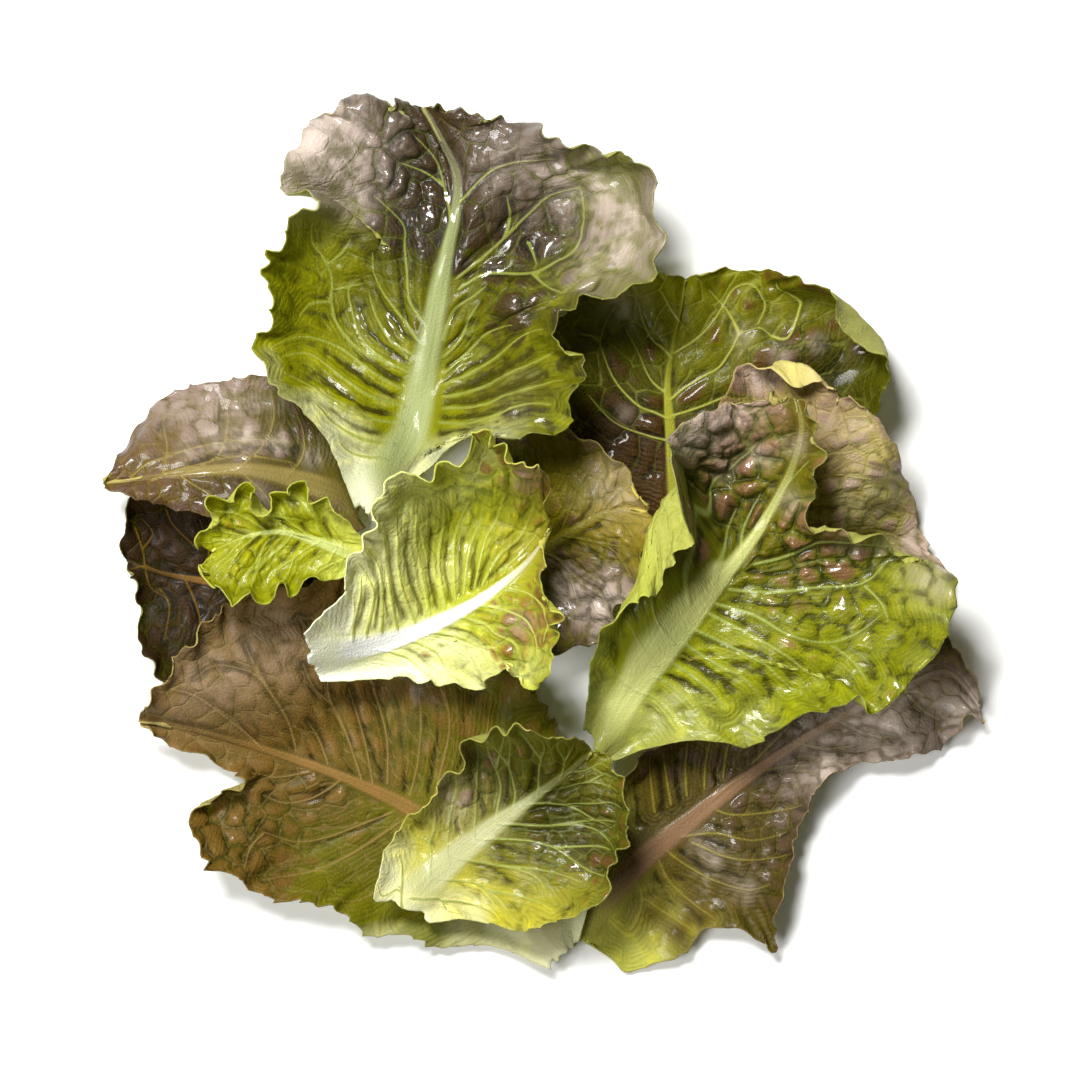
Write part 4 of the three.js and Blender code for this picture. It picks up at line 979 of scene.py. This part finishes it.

# %% [markdown]
# ## The leaf's material
#
# A real leaf is green tissue under a thin wax, with red pigment where light fell on it, and it lets light
# through. Here a blade colour runs from base to tip. Painted shade darkens it in hollows, furrows and
# shaded patches, painted light lightens it on ridges, and red-brown pigment settles on raised parts, with
# painted light and shade of its own. Painted light beside the side veins, the veins, the streaked rib, a
# painted lilac-grey sheen that stands in for the window light's reflection, and the rim come on top, and
# the underside is paler. The wax is a thin coat over a satin base, strongest on puffs, and some light
# comes through wherever there is little pigment.

# %% The material of one leaf
def leaf_material(name, look):
    """The material of one leaf, from its looks and from the fields on its mesh."""
    material = bpy.data.materials.new(name)
    material.use_nodes = True
    tree = material.node_tree
    tree.nodes.clear()
    at = Wire(tree)
    flat = at.field("flat", vector=True)
    share = at.field("share", vector=True)
    u = at.node("ShaderNodeSeparateXYZ", None, {0: share})
    rib, edge, puff, blush, line, near, thick, border, furrow, cavity, bloom, shade, under = (
        at.field(key) for key in (
            "rib", "edge", "puff", "blush", "line", "near", "thick", "border", "furrow", "cavity", "bloom",
            "shade", "under"))
    mottle, cloud = at.field("mottle"), at.field("cloud")
    grain = at.noise(flat, GRAIN, 1.0)

    # Veins: away is the distance to the edge of a side vein, stripe the fine lines beside it.
    away = at.math("ABSOLUTE", line).most(near - 0.8) - thick
    strong = 1.0 - away.step(-0.45, 0.15)
    stripe = at.math("SINE", near * 3.3 + cloud * 9.0) * rib.step(1.1, 2.0)
    # Painted light on the raised blade beside a side vein.
    vein_light = 1.0 - away.step(0.0, 2.2)
    medium = (1.0 - border.step(0.15, 0.6)) * rib.step(1.2, 2.0) * u.step(0.1, 0.45)
    fine = (1.0 - at.net(flat, MESH).step(0.04, 0.24)) * rib.step(1.2, 2.0) * u.step(0.05, 0.3)
    veins = strong.most(medium * look["net"]).most(fine * (0.3 * look["net"]))

    # The blade: its colour from base to tip, with painted light on ridges and painted shade in hollows.
    blade = ((u + 0.02) ** 0.7 + (mottle - 0.5) * 0.3).clamp().ramp([rgb(c) for c in look["blade"].split()])
    light, shaded_blade = blade.vector("MULTIPLY", RIDGE_LIGHT), blade.vector("MULTIPLY", HOLLOW_SHADE)
    colour = blade.mix(light, (cavity.step(0.1, 0.9) * 0.5 + cloud.step(0.55, 0.85) * 0.3).clamp())
    # Painted shade in hollows, furrows, the fine creases beside veins and the shade patches.
    painted_shade = (cavity * -1.0).step(0.1, 1.0) * 0.75 + cloud.step(0.45, 0.25) * 0.25
    painted_shade = painted_shade + furrow * 0.6 + shade * 0.7
    painted_shade = painted_shade + stripe.step(0.4, 1.0) * (0.3 * (1.0 - u))
    painted_shade = painted_shade * u.step(0.02, 0.22) * look.get("depth", 1.0)
    colour = colour.mix(shaded_blade, painted_shade.clamp() * rib.step(0.8, 1.6))
    # Pigment on the raised parts, itself with painted light on ridges and painted shade in hollows.
    pigment = (blush + (cloud - 0.5) * 0.9 + (puff - 0.55) * 0.8 + cavity * 0.2).step(0.15, 0.9)
    pigment = pigment * (1.0 - 0.75 * under) * (1.0 - strong * 0.7)
    tint = at.node("ShaderNodeRGB")
    tint.socket.default_value = rgb(look["red"])
    # Lighter red with the grain and with painted light on ridges, darker red with painted shade in hollows
    # and shade patches.
    grain_and_ridge_light = (grain.step(0.35, 0.7) * 0.5 + cavity.step(0.0, 0.8) * 0.5).clamp()
    pigment_shade = ((cavity * -1.0).step(0.0, 0.7) * 0.8 + shade * 0.5).clamp()
    deep = tint.mix(rgb(look["red"], 1.4), grain_and_ridge_light).mix(rgb(look["red"], 0.25), pigment_shade)
    colour = colour.mix(deep, pigment * 0.92)
    # Painted light beside the veins, then veins, rib, painted sheen, rim and underside on top.
    colour = colour.mix(light, vein_light * (0.2 * (1.0 - u)) * (1.0 - pigment))
    colour = colour.mix(rgb(look["vein"]), veins * (0.9 - 0.4 * pigment) * (1.0 - 0.2 * u))
    stalk = (1.0 - rib.step(0.6, 1.2)) * u.step(0.0, 0.16)
    stalk = stalk * (1.0 - 0.3 * u) * (1.0 - 0.7 * u.step(0.6, 0.9))
    streak = share.vector("MULTIPLY", STREAKS)
    ribbed = at.noise(streak, 1.0, 0.0).ramp([rgb(look["rib"], 0.75), rgb(look["rib"], 1.1)])
    colour = colour.mix(ribbed, stalk)
    # Painted sheen: a lilac-grey colour standing in for the window light's reflection, strongest on puffs.
    sheen = bloom * (0.7 + 0.3 * puff.step(0.1, 0.7)) * (0.5 + 0.5 * cloud.step(0.3, 0.55)) * (1.0 - under)
    colour = colour.mix(SHEEN_TINT, (sheen * 0.9).clamp() * (0.6 + 0.4 * cavity.step(-0.5, 0.2)))
    rim = (1.0 - edge.step(0.0, 0.7)) * 0.3
    colour = colour.mix(rgb(look.get("rim", "8a6a38")), rim)
    pale = blade.vector("ADD", PALER)
    colour = colour.mix(pale, under * 0.8)

    # Surface: fine relief, wax coat, and light that comes through the blade.
    relief = grain - medium * 0.9 + strong * 0.5 - stripe * (0.35 * (1.0 - u))
    relief = relief * (1.0 - 2.0 * under)
    normal = at.node("ShaderNodeBump", None, {"Strength": 0.6, "Distance": 0.5 * MM, "Height": relief})
    gloss = look.get("gloss", 1.0)
    rough = 0.3 + 0.1 * (1.0 - gloss) + 0.14 * grain + 0.14 * stalk + 0.12 * under + 0.15 * sheen
    rough = rough + painted_shade.clamp() * 0.2
    wax = at.node("ShaderNodeBsdfPrincipled", None, {
        "Base Color": colour, "Roughness": rough, "Normal": normal, "IOR": 1.45,
        "Specular IOR Level": 0.1 + 0.12 * gloss,
        "Coat Weight": (0.15 + 0.7 * puff.step(0.3, 0.9) * (0.55 + 0.45 * pigment)) * (1.0 - under) * gloss,
        "Coat Roughness": 0.1})
    glow = at.node("ShaderNodeBsdfTranslucent", None, {"Color": GLOW, "Normal": normal})
    through = 0.24 * (1.0 - pigment) * (1.0 - 0.7 * stalk) + 0.02
    both = at.node("ShaderNodeMixShader", None, {0: through, 1: wax, 2: glow})
    at.node("ShaderNodeOutputMaterial", None, {"Surface": both})
    return material


print("blade colours at the tips:", [look["blade"].split()[-1] for look in LOOKS.values()])

# %% [markdown]
# ## Laying the leaves
#
# Each leaf is laid on the bed of all before it, entered into the pile, and stands for its packed node.

# %% All leaves, from the lowest up
for number, leaf in enumerate(LEAVES):
    name = leaf["name"]
    look = LOOKS[name]
    upper, lower, fields = leaf_form(leaf, look, bed_over_pile(), number)
    raise_pile(upper)
    raise_pile(lower)
    piece = leaf_mesh(name + "_fine", upper, lower, fields)
    piece.data.materials.append(leaf_material(name, look))
    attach(piece, "root")
    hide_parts(name)
    tops = upper[..., 2]
    print(f"{name}: {len(piece.data.polygons) * 2} triangles, {tops.min():.1f} to {tops.max():.1f} mm high")

# %% [markdown]
# ## Floor, light and camera
#
# A white floor, a soft light from the upper left, a weaker one from the left, and an even pale surround.
# The camera looks straight down through a long lens and sees what the drawing covers.

# %% Lights
def add_area(name, place, size, power):
    """A soft light at a place in metres, turned to the middle of the rosette, with its power in watts."""
    light = bpy.data.lights.new(name, "AREA")
    light.shape, light.size, light.size_y, light.energy = "RECTANGLE", *size, power
    made = bpy.data.objects.new(name, light)
    made.location = place
    made.rotation_mode = "QUATERNION"
    made.rotation_quaternion = (-made.location).to_track_quat("-Z", "Y")
    bpy.context.scene.collection.objects.link(made)


add_area("window", place=(-0.35, 0.68, 1.25), size=(0.5, 0.4), power=36.0)
add_area("overhead", place=(-0.75, -0.4, 1.2), size=(0.6, 0.6), power=13.0)

print("lights:", [light.name for light in bpy.data.lights])

# %% Surround and floor
world = bpy.data.worlds.new("surround")
world.use_nodes = True
sky = world.node_tree.nodes["Background"].inputs
sky["Color"].default_value, sky["Strength"].default_value = (1.0, 0.97, 0.88, 1.0), 0.1
bpy.context.scene.world = world

HALF = 3    # half the width of the floor, in metres
corners = [(-HALF, -HALF, 0), (HALF, -HALF, 0), (HALF, HALF, 0), (-HALF, HALF, 0)]
ground = bpy.data.meshes.new("floor")
ground.from_pydata(corners, [], [(0, 1, 2, 3)])
floor = bpy.data.objects.new("floor", ground)
paint = bpy.data.materials.new("floor")
paint.use_nodes = True
coat = paint.node_tree.nodes["Principled BSDF"].inputs
coat["Base Color"].default_value, coat["Roughness"].default_value = (0.9, 0.9, 0.89, 1.0), 0.9
floor.data.materials.append(paint)
bpy.context.scene.collection.objects.link(floor)
print("floor of", 2 * HALF, "m")

# %% Camera
LENS, SENSOR = 150.0, 36.0          # focal length and width of the sensor, in millimetres
PHOTO = 2 * CENTRE * SQUARE * MM    # width of what the camera sees, in metres
HEIGHT = 0.03                       # height at which it sees that width, in metres
camera_data = bpy.data.cameras.new("camera")
camera_data.lens, camera_data.sensor_width = LENS, SENSOR
camera = bpy.data.objects.new("camera", camera_data)
centre_x, centre_y = (CENTRE - MIDDLE[0]) * SQUARE * MM, (MIDDLE[1] - CENTRE) * SQUARE * MM
camera.location = (centre_x, centre_y, HEIGHT + PHOTO * LENS / SENSOR)
bpy.context.scene.collection.objects.link(camera)
bpy.context.scene.camera = camera
bpy.context.scene.view_settings.view_transform = "Standard"
print("camera height in metres:", round(camera.location.z, 3))
